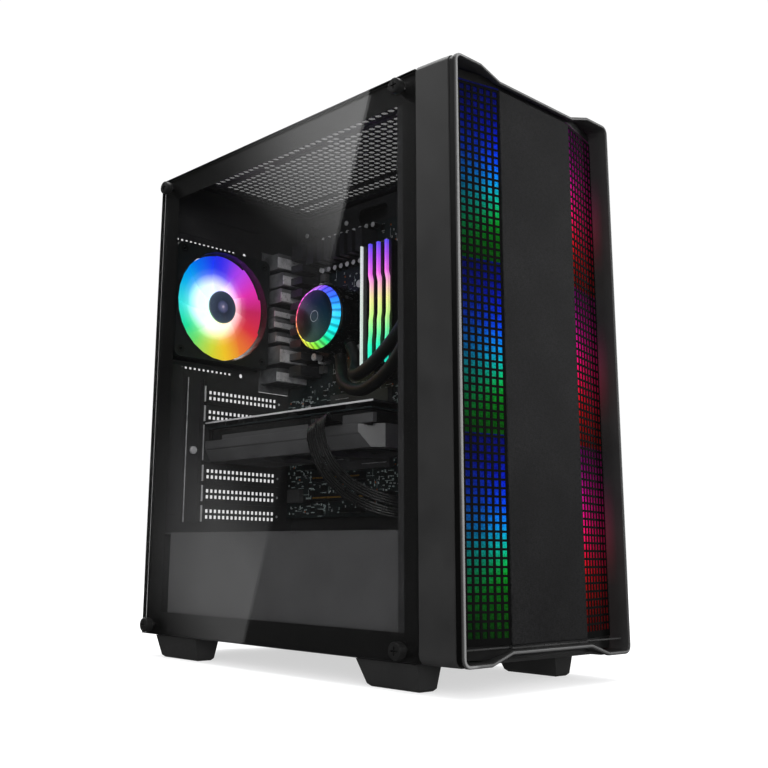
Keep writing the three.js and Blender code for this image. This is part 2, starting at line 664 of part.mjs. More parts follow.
function finnedBlock(x, y, z, along, pitch) {
  let solid = block(x, y, z);
  const span = along === 'z' ? z : y;
  for (let a = span[0] + pitch; a < span[1] - pitch / 2; a += pitch) {
    const gap = [a - pitch * 0.22, a + pitch * 0.22];
    solid = cut(solid, along === 'z' ? block([x[0] - 1, x[1] - 5], [-300, 300], gap)
      : block([x[0] - 1, x[1] - 5], gap, [0, 600]));
  }
  return solid;
}

piece('motherboard', motherboard(), 'board');
// Two finned blocks that share one heat pipe.
function voltageHeatsink() {
  const rear = finnedBlock([36, BOARD.face - GAP], [129.5, 148], [282, 428], 'z', 14);
  const upper = finnedBlock([42, BOARD.face - GAP], [44, 131], [404, 428], 'y', 12);
  return join(rear, upper);
}

piece('voltage_heatsink', voltageHeatsink(), 'darkMetal');

RAM.y.forEach((y, k) => {
  const card = block([33, 62.2], [y - 0.6, y + 0.6], [RAM.bottom, RAM.top]);
  const outline = roundRect([y - 3.4, y + 3.4], [RAM.bottom + 1, RAM.top - 1], 1.5);
  const cover = prism('x', outline, RAM.left, 56, 2);
  piece(`memory_stick_${k + 1}`, join(card, cover), 'darkMetal');
});

function coolerPump() {
  const centre = [PUMP.y, PUMP.z];
  let solid = bar('x', centre, PUMP.radius, PUMP.face + 14, PUMP.base, 32);
  solid = join(solid, bar('x', centre, PUMP.cap, PUMP.face, PUMP.face + 15, 32));
  for (const [dy, dz] of [[-1, -1], [-1, 1], [1, -1], [1, 1]]) {
    const tip = [PUMP.y + dy * 37, PUMP.z + dz * 37];
    const outline = [
      [PUMP.y + dy * 10 - dz * 6, PUMP.z + dz * 10 + dy * 6],
      [PUMP.y + dy * 10 + dz * 6, PUMP.z + dz * 10 - dy * 6],
      [tip[0] + dz * 4, tip[1] - dy * 4],
      [tip[0] - dz * 4, tip[1] + dy * 4],
    ];
    solid = join(solid, prism('x', outline, PUMP.base - 3, PUMP.base));
    solid = join(solid, bar('x', [tip[0] - dy * 3, tip[1] - dz * 3], 4, PUMP.base - 14, PUMP.base, 12));
  }
  return solid;
}

piece('cooler_pump', coolerPump(), 'plastic');

const HOSES = {
  coolant_hose_upper: [
    [37, 57.6, 308.4], [37, 52.6, 300.5], [35.5, 46, 290.5], [30.5, 39.5, 280], [20, 31.5, 270],
    [9, 14, 266], [1, -8, 269], [-3, -29, 278.5], [-7, -48, 289], [-10, -63, 300], [-12, -82, 320],
    [-14, -97, 347], [-15, -108, 377], [-15, -114, 404], [-14, -119, 419.5], [-14, -127.5, 427.5],
    [-14, -136, 428.5],
  ],
  coolant_hose_lower: [
    [40, 73.5, 301], [38.5, 70, 291], [33, 63, 280.5], [24, 53, 270.5], [14, 38.5, 259.5],
    [5, 18, 251], [-3, -6, 247.5], [-10, -31, 252], [-15, -52, 261.5], [-20, -70, 274], [-25, -88, 293],
    [-30, -103, 323], [-33, -112, 356], [-35.5, -116, 385], [-36.5, -119.5, 402], [-37, -128, 411],
    [-37, -136, 412.3],
  ],
};
const HOSE_RADIUS = 6.2;

function radiator() {
  const { half, back, front, bottom, top } = RADIATOR;
  const tank = 24;
  let solid = join(
    block([-half, half], [front, back], [bottom, bottom + tank]),
    block([-half, half], [front, back], [top - tank - 10, top]),
    block([-half, -half + 4], [front, back], [bottom, top]),
    block([half - 4, half], [front, back], [bottom, top]),
    block([-half + 3, half - 3], [front + 4, back - 4], [bottom, top]),
  );
  for (let z = bottom + 34; z < top - 44; z += 12) {
    solid = cut(solid, block([-half + 6, half - 6], [back - 5.6, back], [z - 3.6, z + 3.6]));
  }
  return solid;
}

piece('radiator', radiator(), 'darkMetal');
for (const [name, route] of Object.entries(HOSES)) {
  piece(name, cable(route, HOSE_RADIUS, 32), 'sleeve');
}

// ---- expansion slots ----------------------------------------------------------------------------
for (let i = 0; i < SLOT_COUNT; i += 1) {
  if (!CARD_SLOTS.includes(i)) {
    const z = slotZ(i);
    const plate = block([-51, 57.5], [REAR_PLATE_Y - GAP - SHEET, REAR_PLATE_Y - GAP], [z - 9.2, z + 9.2]);
    const lip = block([-53, -50], [REAR_PLATE_Y - 8, REAR_PLATE_Y - GAP], [z - 9.2, z + 9.2]);
    piece(`slot_cover_${i + 1}`, join(plate, lip), 'darkMetal');
  }
}

function slotClamp() {
  const z = [slotZ(SLOT_COUNT - 1) - 9, slotZ(0) + 15];
  const strip = block([-72, -54], [REAR_PLATE_Y - 2, REAR_PLATE_Y - GAP], z);
  const fold = block([-55, -54], [REAR_PLATE_Y - 8, REAR_PLATE_Y - GAP], z);
  const screw = bar('y', [-64, slotZ(3) + 2], 4, REAR_PLATE_Y - 6, REAR_PLATE_Y - 1, 12);
  return join(strip, fold, screw);
}

piece('slot_clamp', slotClamp(), 'darkMetal');

function graphicsCard() {
  const { left, right, front, back, bottom, top } = CARD;
  const slab = block([left, right], [front, back], [top - 6, top]);
  // the shroud's outline is stepped at its front end
  const outline = [
    [left, front + 26], [left + 22, front], [right - 2, front], [right - 2, back],
    [left + 4, back], [left, back - 30],
  ];
  let solid = join(slab, prism('z', outline, bottom, top - 5));
  for (const y of CARD_FAN.y) {
    solid = cut(solid, bar('z', [CARD_FAN.x, y], CARD_FAN.radius + 1.5, bottom - 1, bottom + 22, 32));
  }
  const upper = slotZ(CARD_SLOTS[0]) + 9;
  const lower = slotZ(CARD_SLOTS[1]) - 9;
  const bracket = cut(
    block([left, right - 1], [REAR_PLATE_Y - 1.6, REAR_PLATE_Y - GAP], [lower, upper]),
    block([left - 1, left + 4], [100, 200], [upper - 4, upper + 1]),
  );
  const neck = block([left + 8, right - 8], [back - 1, REAR_PLATE_Y - 0.5], [lower + 4, upper - 4]);
  const mouths = [-8, 12, 32].map((x) => block([x, x + 16], [REAR_PLATE_Y - 12, 200], [215, 221]));
  const socket = block([left - 1, left + 9], [-24, 8], [212, 219.5]);
  const contacts = block([right - 4, 60.6], [36, 130], [214.9, 216.1]);
  return cut(join(solid, bracket, neck, contacts), ...mouths, socket);
}

piece('graphics_card', graphicsCard(), 'plastic');
CARD_FAN.y.forEach((y, k) => {
  const wheel = piece(`card_fan_rotor_${k + 1}`, rotor(15, CARD_FAN.radius, 12, 9, -6), 'plastic');
  wheel.position.set(CARD_FAN.x, y, CARD.bottom + 8.5);
});

// ---- power supply, drives and cables ---------------------------------------------------------------
const INLET = { x: [-58, -31], z: [70, 92] };
const ROCKER = { x: [-58, -38], z: [44, 57] };

function powerSupply() {
  const { left, right, front, back, bottom, top } = PSU;
  let solid = block([left, right], [front, back], [bottom, top]);
  solid = cut(solid, bar('z', [PSU_FAN.x, PSU_FAN.y], PSU_FAN.radius + 1, bottom - 1, bottom + 20, 32));
  for (const angle of [0, 90]) {
    const spoke = block([-PSU_FAN.radius - 2, PSU_FAN.radius + 2], [-1.5, 1.5], [bottom, bottom + 1.5]);
    solid = join(solid, spoke.rotate([0, 0, angle]).translate([PSU_FAN.x, PSU_FAN.y, 0]));
  }
  solid = join(solid, bar('z', [PSU_FAN.x, PSU_FAN.y], 16, bottom, bottom + 1.5, 24));
  const inlet = block(INLET.x, [back - 16, back + 1], INLET.z);
  return cut(solid, inlet, block(ROCKER.x, [back - 9, back + 1], ROCKER.z));
}

piece('power_supply', powerSupply(), 'steel');
const supplyRotor = piece('power_supply_rotor', rotor(16, PSU_FAN.radius - 2, 13, 7, -6.5), 'plastic');
supplyRotor.position.set(PSU_FAN.x, PSU_FAN.y, PSU.bottom + 11);

// A rocker that tips about a line along Z.
function rockerSwitch() {
  const middle = (ROCKER.x[0] + ROCKER.x[1]) / 2;
  const outline = [
    [middle - 9, PSU.back + 1.6], [middle - 9, PSU.back - 5], [middle, PSU.back - 7.4],
    [middle + 9, PSU.back - 5], [middle + 9, PSU.back + 1.6], [middle, PSU.back - 1],
  ];
  return prism('z', outline, ROCKER.z[0] + GAP, ROCKER.z[1] - GAP);
}

piece('power_supply_switch', rockerSwitch(), 'plastic');

function driveCage() {
  const outside = block([-64, 44], [-136, 8], [BASE_Z + SHEET + GAP, 104]);
  const bays = [[24, 62], [64, 101.5]].map((z) => block([-62.5, 50], [-140, 12], z));
  return cut(outside, ...bays);
}

piece('drive_cage', driveCage(), 'steel');

const GRAPHICS_CABLE = [
  [-51, -8, 215.8], [-60, -9, 215], [-68, -12, 207], [-70, -17, 190], [-67, -28, 169], [-60, -46, 151],
  [-46, -68, 139], [-24, -86, 134], [4, -96, 138], [32, -98, 150], [54, -95, 164], [68, -92, 172],
];
const BOARD_CABLE = [
  [48.5, -54, 326], [40, -56, 326], [33, -64, 324], [34, -76, 320], [44, -86, 316], [58, -90, 312],
  [70, -91, 308],
];

const cardPlug = block([-57, CARD.left + 7.5], [-23, 7], [212.5, 219]);
piece('graphics_power_cable', join(cable(GRAPHICS_CABLE, 5.5, 32), cardPlug), 'sleeve');
piece('board_power_cable', cable(BOARD_CABLE, 6, 20), 'sleeve');

// The origin is the middle of the whole object's footprint, on the surface that it stands on.
tower.position.set(4.15, 1.65, 0);

export default tower;
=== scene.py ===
"""A mid-tower desktop computer: glass side, perforated front with coloured light, liquid cooling.

The pieces are written in the case's own millimetres: X = 0 lies midway between the side panels, the
front faces -Y, and the feet stand on Z = 0. at() turns them into the frame's metres.
"""

import json
import math
import random

import bmesh
import bpy
from mathutils import Matrix, Vector

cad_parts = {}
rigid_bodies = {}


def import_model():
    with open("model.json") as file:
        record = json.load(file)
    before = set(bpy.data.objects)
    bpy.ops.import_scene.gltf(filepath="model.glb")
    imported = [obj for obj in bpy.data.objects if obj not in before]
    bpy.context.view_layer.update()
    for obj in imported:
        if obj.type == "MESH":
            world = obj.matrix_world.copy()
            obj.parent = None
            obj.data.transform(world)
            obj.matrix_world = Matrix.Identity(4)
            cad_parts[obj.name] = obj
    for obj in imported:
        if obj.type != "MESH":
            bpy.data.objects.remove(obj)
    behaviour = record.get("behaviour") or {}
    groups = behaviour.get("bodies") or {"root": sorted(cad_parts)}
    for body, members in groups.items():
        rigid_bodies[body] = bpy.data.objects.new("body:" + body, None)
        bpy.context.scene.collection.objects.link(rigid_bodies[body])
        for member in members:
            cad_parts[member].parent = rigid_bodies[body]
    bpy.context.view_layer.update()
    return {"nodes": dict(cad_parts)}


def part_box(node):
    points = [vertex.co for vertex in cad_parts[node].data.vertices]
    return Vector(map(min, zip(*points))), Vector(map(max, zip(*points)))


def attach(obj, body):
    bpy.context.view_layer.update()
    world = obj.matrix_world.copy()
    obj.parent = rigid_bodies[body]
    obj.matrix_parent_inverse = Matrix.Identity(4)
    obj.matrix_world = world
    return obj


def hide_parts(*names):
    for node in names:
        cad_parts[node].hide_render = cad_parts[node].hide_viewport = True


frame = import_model()

MM = 0.001
GLASS_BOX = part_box("glass_panel")
STEEL_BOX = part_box("steel_side_panel")
BEZEL_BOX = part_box("front_bezel")
CASE_FRONT_Y = -208
ORIGIN = Vector(((GLASS_BOX[0].x + STEEL_BOX[1].x) / 2, BEZEL_BOX[0].y - CASE_FRONT_Y * MM, 0))


def at(x, y, z):
    """A point of the case, in the frame's metres."""
    return ORIGIN + Vector((x, y, z)) * MM


def box_mm(node):
    """A CAD node's box as ((x0, x1), (y0, y1), (z0, z1)), in case millimetres."""
    low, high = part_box(node)
    low, high = (low - ORIGIN) / MM, (high - ORIGIN) / MM
    return tuple((low[i], high[i]) for i in range(3))


def middle(node):
    """The centre of a CAD node's box, in case millimetres."""
    return [(a + b) / 2 for a, b in box_mm(node)]


# ---- colours and materials ------------------------------------------------------------------
def linear(colour):
    """Display values from 0 to 255, three of them or one for a grey, as linear RGBA."""
    parts = [c / 255 for c in (colour if isinstance(colour, tuple) else (colour,) * 3)]
    return [c / 12.92 if c <= 0.04045 else ((c + 0.055) / 1.055) ** 2.4 for c in parts] + [1]


class Look:
    """A node material under construction."""

    def __init__(self, name):
        self.mat = bpy.data.materials.new(name)
        self.mat.use_nodes = True
        self.tree = self.mat.node_tree
        self.tree.nodes.clear()
        self.shader = self.node("BsdfPrincipled")
        self.out = self.node("OutputMaterial")
        self.link(self.shader.outputs[0], self.out.inputs["Surface"])

    def node(self, kind, **settings):
        made = self.tree.nodes.new("ShaderNode" + kind)
        for key, value in settings.items():
            setattr(made, key, value)
        return made

    def link(self, source, target):
        self.tree.links.new(source, target)

    def math(self, operation, a, b=None):
        made = self.node("Math", operation=operation)
        for socket, value in zip(made.inputs, (a, b)):
            if value is None:
                continue
            if isinstance(value, (int, float)):
                socket.default_value = value
            else:
                self.link(value, socket)
        return made.outputs[0]

    def place(self, centre=(0, 0, 0), turn=(0, 0, 0), scale=(1, 1, 1)):
        """Object coordinates in case millimetres about a centre, then turned and scaled."""
        coords = self.node("TexCoord").outputs["Object"]
        shift = self.node("Mapping")
        shift.inputs["Location"].default_value = -at(*centre) / MM
        shift.inputs["Scale"].default_value = (1 / MM,) * 3
        self.link(coords, shift.inputs["Vector"])
        spin = self.node("Mapping")
        spin.inputs["Rotation"].default_value = [math.radians(a) for a in turn]
        self.link(shift.outputs[0], spin.inputs["Vector"])
        last = self.node("Mapping")
        last.inputs["Scale"].default_value = scale
        self.link(spin.outputs[0], last.inputs["Vector"])
        return last.outputs[0]

    def axes(self, vector):
        made = self.node("SeparateXYZ")
        self.link(vector, made.inputs[0])
        return made.outputs

    def noise(self, vector, scale=1.0, detail=3.0):
        made = self.node("TexNoise")
        made.inputs["Scale"].default_value = scale
        made.inputs["Detail"].default_value = detail
        self.link(vector, made.inputs["Vector"])
        return made.outputs["Fac"]

    def bands(self, direction, scale, vector):
        made = self.node("TexWave", wave_type="BANDS", bands_direction=direction)
        made.inputs["Scale"].default_value = scale
        self.link(vector, made.inputs["Vector"])
        return made.outputs["Fac"]

    def ramp(self, factor, stops):
        """stops is a list of (position, 0-255 colour)."""
        made = self.node("ValToRGB")
        band = made.color_ramp
        while len(band.elements) < len(stops):
            band.elements.new(0.5)
        for element, (position, _) in zip(band.elements, stops):
            element.position = position
        for element, (_, colour) in zip(band.elements, stops):
            element.color = linear(colour)
        self.link(factor, made.inputs["Fac"])
        return made.outputs["Color"]

    def mix(self, factor, a, b, blend="MIX"):
        made = self.node("Mix", data_type="RGBA", blend_type=blend)
        for socket, value in ((made.inputs[0], factor), (made.inputs[6], a), (made.inputs[7], b)):
            if isinstance(value, (int, float)):
                socket.default_value = value
            else:
                self.link(value, socket)
        return made.outputs[2]

    def times(self, a, b):
        return self.mix(1.0, a, b, "MULTIPLY")

    def turn(self, a, b):
        """The angle of (a, b) as a part of a whole turn, 0 to 1."""
        return self.math("FRACT", self.math("DIVIDE", self.math("ARCTAN2", a, b), math.tau))

    def distance(self, a, b):
        return self.math("SQRT", self.math("ADD", self.math("POWER", a, 2), self.math("POWER", b, 2)))

    def set(self, **values):
        """Sockets of the shader, by name with underscores for spaces."""
        for key, value in values.items():
            socket = self.shader.inputs[key.replace("_", " ")]
            if isinstance(value, bpy.types.NodeSocket):
                self.link(value, socket)
            else:
                socket.default_value = value

    def bump(self, height, strength, distance=0.1):
        made = self.node("Bump")
        made.inputs["Strength"].default_value = strength
        made.inputs["Distance"].default_value = distance * MM
        self.link(height, made.inputs["Height"])
        self.link(made.outputs[0], self.shader.inputs["Normal"])


def surface(name, dark, light, rough=(0.4, 0.5), metal=0.0, cell=30.0, grain=0.3, relief=0.15, **sockets):
    """A painted, moulded or metal surface: two close tones, uneven gloss and a fine grain."""
    look = Look(name)
    where = look.place()
    tone = look.noise(where, 1 / cell)
    look.set(Base_Color=look.ramp(tone, [(0.3, dark), (0.7, light)]), Metallic=metal)
    gloss = look.node("MapRange")
    for key, value in zip(("From Min", "From Max", "To Min", "To Max"), (0.3, 0.7, *rough)):
        gloss.inputs[key].default_value = value
    look.link(look.noise(where, 0.2), gloss.inputs["Value"])
    look.set(Roughness=gloss.outputs[0], **sockets)
    if relief:
        look.bump(look.noise(where, 1 / (3 * grain), 2.0), relief * 0.2)
    return look.mat


def cool(value):
    """A grey that is very slightly blue."""
    return (value, value, value + 1)


steel_paint = surface("steel_paint", cool(27), cool(32), (0.42, 0.52), relief=0.25, grain=0.5)
inner_paint = surface("inner_paint", cool(34), cool(41), (0.45, 0.55), relief=0.25, grain=0.5)
shroud_paint = surface("shroud_paint", cool(62), cool(69), (0.45, 0.55), relief=0.2, grain=0.5)
foot_plastic = surface("foot_plastic", 27, 33, (0.4, 0.5), relief=0.2)
rim_plastic = surface("rim_plastic", 40, 46, (0.25, 0.35), relief=0.1)
dark_plastic = surface("dark_plastic", 11, 16, (0.4, 0.5), relief=0.15)
black_gloss = surface("black_gloss", 5, 8, (0.1, 0.16), relief=0.0)
screw_black = surface("screw_black", 30, 38, (0.3, 0.4), 0.6, relief=0.1)
bright_steel = surface("bright_steel", (160, 160, 162), (205, 205, 207), (0.25, 0.4), 0.25, cell=8)
# pale edges are a painted highlight on edges that face the light
edge_highlight = surface("edge_highlight", (200, 200, 202), (225, 225, 227), (0.3, 0.4), 0.3)
port_steel = surface("port_steel", (62, 63, 65), (112, 113, 115), (0.3, 0.5), 0.3, cell=18)
heatsink_metal = surface("heatsink_metal", (58, 58, 61), (74, 74, 77), (0.35, 0.5), 0.8)
radiator_black = surface("radiator_black", 14, 20, (0.4, 0.5), 0.3)
gold = surface("gold_contact", (196, 150, 70), (214, 170, 88), (0.25, 0.35), 1.0, cell=4)
card_plastic = surface("card_plastic", cool(60), cool(70), (0.32, 0.42), relief=0.12)
mark_white = surface("mark_white", (170, 176, 178), (205, 210, 212), (0.5, 0.6), relief=0.0)
port_blue = surface("port_blue", (20, 70, 150), (26, 84, 170), (0.4, 0.5), relief=0.0)
copper_dot = surface("copper_dot", (170, 90, 50), (200, 110, 62), (0.3, 0.4), 0.8, cell=4, relief=0.0)


def circuit_look():
    """Black board with fine copper tracks just under the lacquer."""
    look = Look("circuit_board")
    cells = look.node("TexBrick", offset=0.37, squash=0.6, squash_frequency=3)
    cells.inputs["Scale"].default_value = 0.11
    cells.inputs["Mortar Size"].default_value = 0.012
    cells.inputs["Color1"].default_value = linear((15, 17, 19))
    cells.inputs["Color2"].default_value = linear((22, 26, 28))
    cells.inputs["Mortar"].default_value = linear((52, 84, 86))
    look.link(look.place(turn=(0, 90, 0)), cells.inputs["Vector"])
    where = look.place()
    tone = look.ramp(look.noise(where, 0.06), [(0.4, (10, 12, 13)), (0.6, (22, 27, 29))])
    look.set(Base_Color=look.mix(0.45, cells.outputs["Color"], tone), Roughness=0.42)
    look.bump(look.noise(where, 0.8), 0.2)
    return look.mat


def woven_look():
    """The front plate: a fine cloth-like brushing in both directions."""
    look = Look("front_plate")
    across = look.noise(look.place(scale=(0.35, 1, 3.0)), 1.0, 4.0)
    along = look.noise(look.place(scale=(3.0, 1, 0.35)), 1.0, 4.0)
    weave = look.math("MULTIPLY", look.math("ADD", across, along), 0.5)
    broad = look.noise(look.place(), 0.02)
    tone = look.ramp(weave, [(0.42, (2, 2, 3)), (0.58, (27, 27, 28))])
    tint = look.ramp(broad, [(0.35, (205, 205, 208)), (0.7, (255, 255, 255))])
    look.set(Base_Color=look.times(tone, tint), Roughness=0.62, Specular_IOR_Level=0.22)
    look.bump(weave, 0.25, 0.15)
    return look.mat


def bezel_look():
    """Satin plastic whose outer faces have a painted dark reflection in a band just behind the rim, and a
    painted highlight along the rim's front edge, brighter on the left side.
    """
    look = Look("bezel_shell")
    parts = look.axes(look.place())
    tone = look.noise(look.place(), 0.03)
    body = look.ramp(tone, [(0.3, 30), (0.7, 36)])
    depth = look.math("DIVIDE", look.math("ADD", parts["Y"], 210), 50)
    # painted dark reflection: a near-black band in the groove just behind the rim
    band = look.ramp(depth, [
        (0.0, 255), (0.075, 230), (0.09, 10), (0.19, 12), (0.2, 255),
    ])
    # painted highlight: a bright line along the rim's front edge, brighter on the left side where the light
    # falls
    rim_highlight_mask = look.ramp(depth, [
        (0.0, 255), (0.041, 255), (0.047, 90), (0.075, 60), (0.085, 0),
    ])
    side = look.math("DIVIDE", look.math("ADD", parts["X"], 110), 220)
    lit_side = look.ramp(side, [(0.0, 112), (0.08, 112), (0.1, 78), (1.0, 66)])
    rim = look.times(lit_side, rim_highlight_mask)
    look.set(Base_Color=look.mix(1.0, look.times(body, band), rim, "ADD"), Roughness=0.36)
    look.bump(look.noise(look.place(), 2.2), 0.12)
    return look.mat


# Colours round a lit fan, seen from its front and turning clockwise from the top.
FAN_RING = [
    (0.0, (55, 50, 250)), (0.03, (90, 60, 250)), (0.1, (200, 70, 240)), (0.17, (235, 50, 180)),
    (0.24, (200, 38, 95)), (0.32, (225, 50, 66)), (0.4, (245, 130, 50)), (0.47, (250, 205, 40)),
    (0.53, (215, 225, 60)), (0.6, (120, 235, 110)), (0.66, (30, 235, 160)), (0.74, (60, 240, 235)),
    (0.82, (0, 190, 250)), (0.9, (0, 120, 255)), (0.97, (30, 60, 250)), (1.0, (55, 50, 250)),
]
FRONT_RING = [
    (0.0, (70, 10, 150)), (0.06, (100, 8, 130)), (0.13, (150, 9, 125)), (0.18, (190, 8, 130)),
    (0.25, (215, 8, 95)), (0.32, (205, 14, 36)), (0.36, (180, 20, 18)), (0.42, (120, 24, 12)),
    (0.5, (60, 70, 8)), (0.58, (20, 100, 12)), (0.63, (4, 120, 18)), (0.655, (4, 146, 40)),
    (0.68, (2, 160, 90)), (0.71, (1, 158, 150)), (0.75, (0, 120, 205)), (0.79, (0, 62, 205)),
    (0.84, (0, 28, 190)), (0.9, (0, 16, 150)), (0.95, (4, 10, 120)), (1.0, (70, 10, 150)),
]


def lit_fan_look(name, centre, ring, strength, glow=None):
    """Frosted blades lit by a ring of coloured lamps round the hub; glow is how far aside it is white."""
    look = Look(name)
    parts = look.axes(look.place(centre))
    colour = look.ramp(look.turn(parts["X"], parts["Z"]), ring)
    if glow:
        radius = look.distance(look.math("ADD", parts["X"], glow), parts["Z"])
        white = look.ramp(look.math("DIVIDE", radius, 60), [
            (0.4, 255), (0.5, 190), (0.6, 80), (0.7, 20), (0.8, 0),
        ])
        colour = look.mix(1.0, colour, white, "ADD")
    haze = look.ramp(look.noise(look.place(), 0.05), [(0.3, 120), (0.7, 135)])
    look.set(Base_Color=look.times(colour, haze), Roughness=0.6, Specular_IOR_Level=0.1)
    look.set(Emission_Color=colour, Emission_Strength=strength)
    return look.mat


def fan_spill(look, fans):
    """The coloured light that the front fans throw forward, and how far from a hub a point is."""
    parts = look.axes(look.place((0, 0, fans[-1])))
    pitch = fans[0] - fans[1]
    nearest = look.math("ROUND", look.math("DIVIDE", parts["Z"], pitch))
    nearest = look.math("MINIMUM", look.math("MAXIMUM", nearest, 0), len(fans) - 1)
    wrapped = look.math("SUBTRACT", parts["Z"], look.math("MULTIPLY", nearest, pitch))
    colour = look.ramp(look.turn(parts["X"], wrapped), FRONT_RING)
    side = look.math("SUBTRACT", look.math("ABSOLUTE", parts["X"]), 2)
    return colour, look.math("DIVIDE", look.distance(side, wrapped), 110)


def front_filter_look(fans):
    """A fine nylon filter with the light of the fans behind it painted on as emission."""
    look = Look("front_filter")
    colour, reach = fan_spill(look, fans)
    painted_light_fade = look.ramp(reach, [
        (0.0, 255), (0.47, 255), (0.54, 215), (0.62, 172), (0.72, 140),
        (0.84, 112), (0.95, 80),
    ])
    cloth = look.noise(look.place(), 0.7, 2.0)
    look.set(Base_Color=look.ramp(cloth, [(0.35, 5), (0.65, 9)]), Roughness=0.8)
    # painted light: the fans' colours, brightest near each hub and fading outwards
    glow = look.times(look.times(colour, painted_light_fade), look.ramp(cloth, [(0.35, 190), (0.65, 255)]))
    look.set(Specular_IOR_Level=0.05, Emission_Color=glow, Emission_Strength=1.75)
    return look.mat


def light_bar_look(low, high):
    """The memory's light bars: violet at the top, through pink and yellow, to green and mint."""
    look = Look("light_bar")
    parts = look.axes(look.place((0, 0, low)))
    height = look.math("DIVIDE", parts["Z"], high - low)
    colour = look.ramp(height, [
        (0.0, (20, 235, 205)), (0.16, (40, 240, 190)), (0.27, (120, 240, 160)), (0.4, (200, 245, 140)),
        (0.52, (235, 232, 150)), (0.62, (240, 190, 190)), (0.74, (232, 110, 225)), (0.88, (170, 80, 235)),
        (1.0, (80, 80, 240)),
    ])
    look.set(Base_Color=colour, Roughness=0.4, Emission_Color=colour, Emission_Strength=1.0)
    return look.mat


def pump_light_look(name, centre, strength):
    """A ring light about an X axis, seen from the glass side."""
    look = Look(name)
    parts = look.axes(look.place(centre))
    turn = look.turn(look.math("MULTIPLY", parts["Y"], -1), parts["Z"])
    colour = look.ramp(turn, [
        (0.0, (196, 120, 250)), (0.07, (80, 70, 250)), (0.16, (40, 110, 255)), (0.25, (50, 190, 255)),
        (0.34, (20, 215, 225)), (0.42, (20, 215, 130)), (0.5, (130, 225, 60)), (0.6, (225, 225, 70)),
        (0.7, (245, 150, 90)), (0.8, (245, 80, 130)), (0.9, (235, 90, 225)), (1.0, (196, 120, 250)),
    ])
    facets = look.math("SINE", look.math("MULTIPLY", turn, 24 * math.tau))
    pulse = look.ramp(look.math("MULTIPLY_ADD", facets, 0.5), [(0.0, 175), (0.6, 255)])
    colour = look.times(colour, pulse)
    look.set(Base_Color=colour, Roughness=0.25, Emission_Color=colour, Emission_Strength=strength)
    return look.mat


def braid_look():
    """Woven sleeving over a hose."""
    look = Look("hose_sleeve")
    one = look.bands("DIAGONAL", 0.42, look.place())
    two = look.bands("DIAGONAL", 0.42, look.place(scale=(-1, 1, 1)))
    weave = look.math("MULTIPLY", one, two)
    look.set(Base_Color=look.ramp(weave, [(0.2, 5), (0.8, 26)]), Roughness=0.42)
    look.bump(weave, 0.6, 0.3)
    return look.mat


def mesh_cloth_look(name, tone, alpha, pitch):
    """Fine filter mesh, which lets part of the light through."""
    look = Look(name)
    warp, weft = (look.bands(way, 1 / pitch, look.place()) for way in "XY")
    net = look.math("MAXIMUM", warp, weft)
    look.set(Base_Color=look.ramp(net, [(0.3, 6), (0.9, tone)]), Roughness=0.6, Alpha=alpha)
    return look.mat


def glass_look(name, alpha, tint):
    """Dark tinted glass with a strong clear reflection."""
    look = Look(name)
    tone = look.ramp(look.noise(look.place(), 0.01), [(0.3, tint), (0.7, tint + 3)])
    look.set(Base_Color=tone, Roughness=0.0, Alpha=alpha, Specular_IOR_Level=1.0, IOR=1.9)
    return look.mat


circuit = circuit_look()
woven = woven_look()
bezel_shell = bezel_look()
braid = braid_look()
top_cloth = mesh_cloth_look("top_cloth", 24, 0.5, 1.6)
fan_plastic = surface("fan_plastic", (14, 18, 18), (20, 25, 25), (0.35, 0.45))
cable_sleeve = surface("cable_sleeve", 9, 15, (0.25, 0.35), cell=3)
clear_glass = glass_look("side_glass", 0.16, 6)
border_paint = surface("border_paint", 9, 12, (0.35, 0.45), relief=0.0)


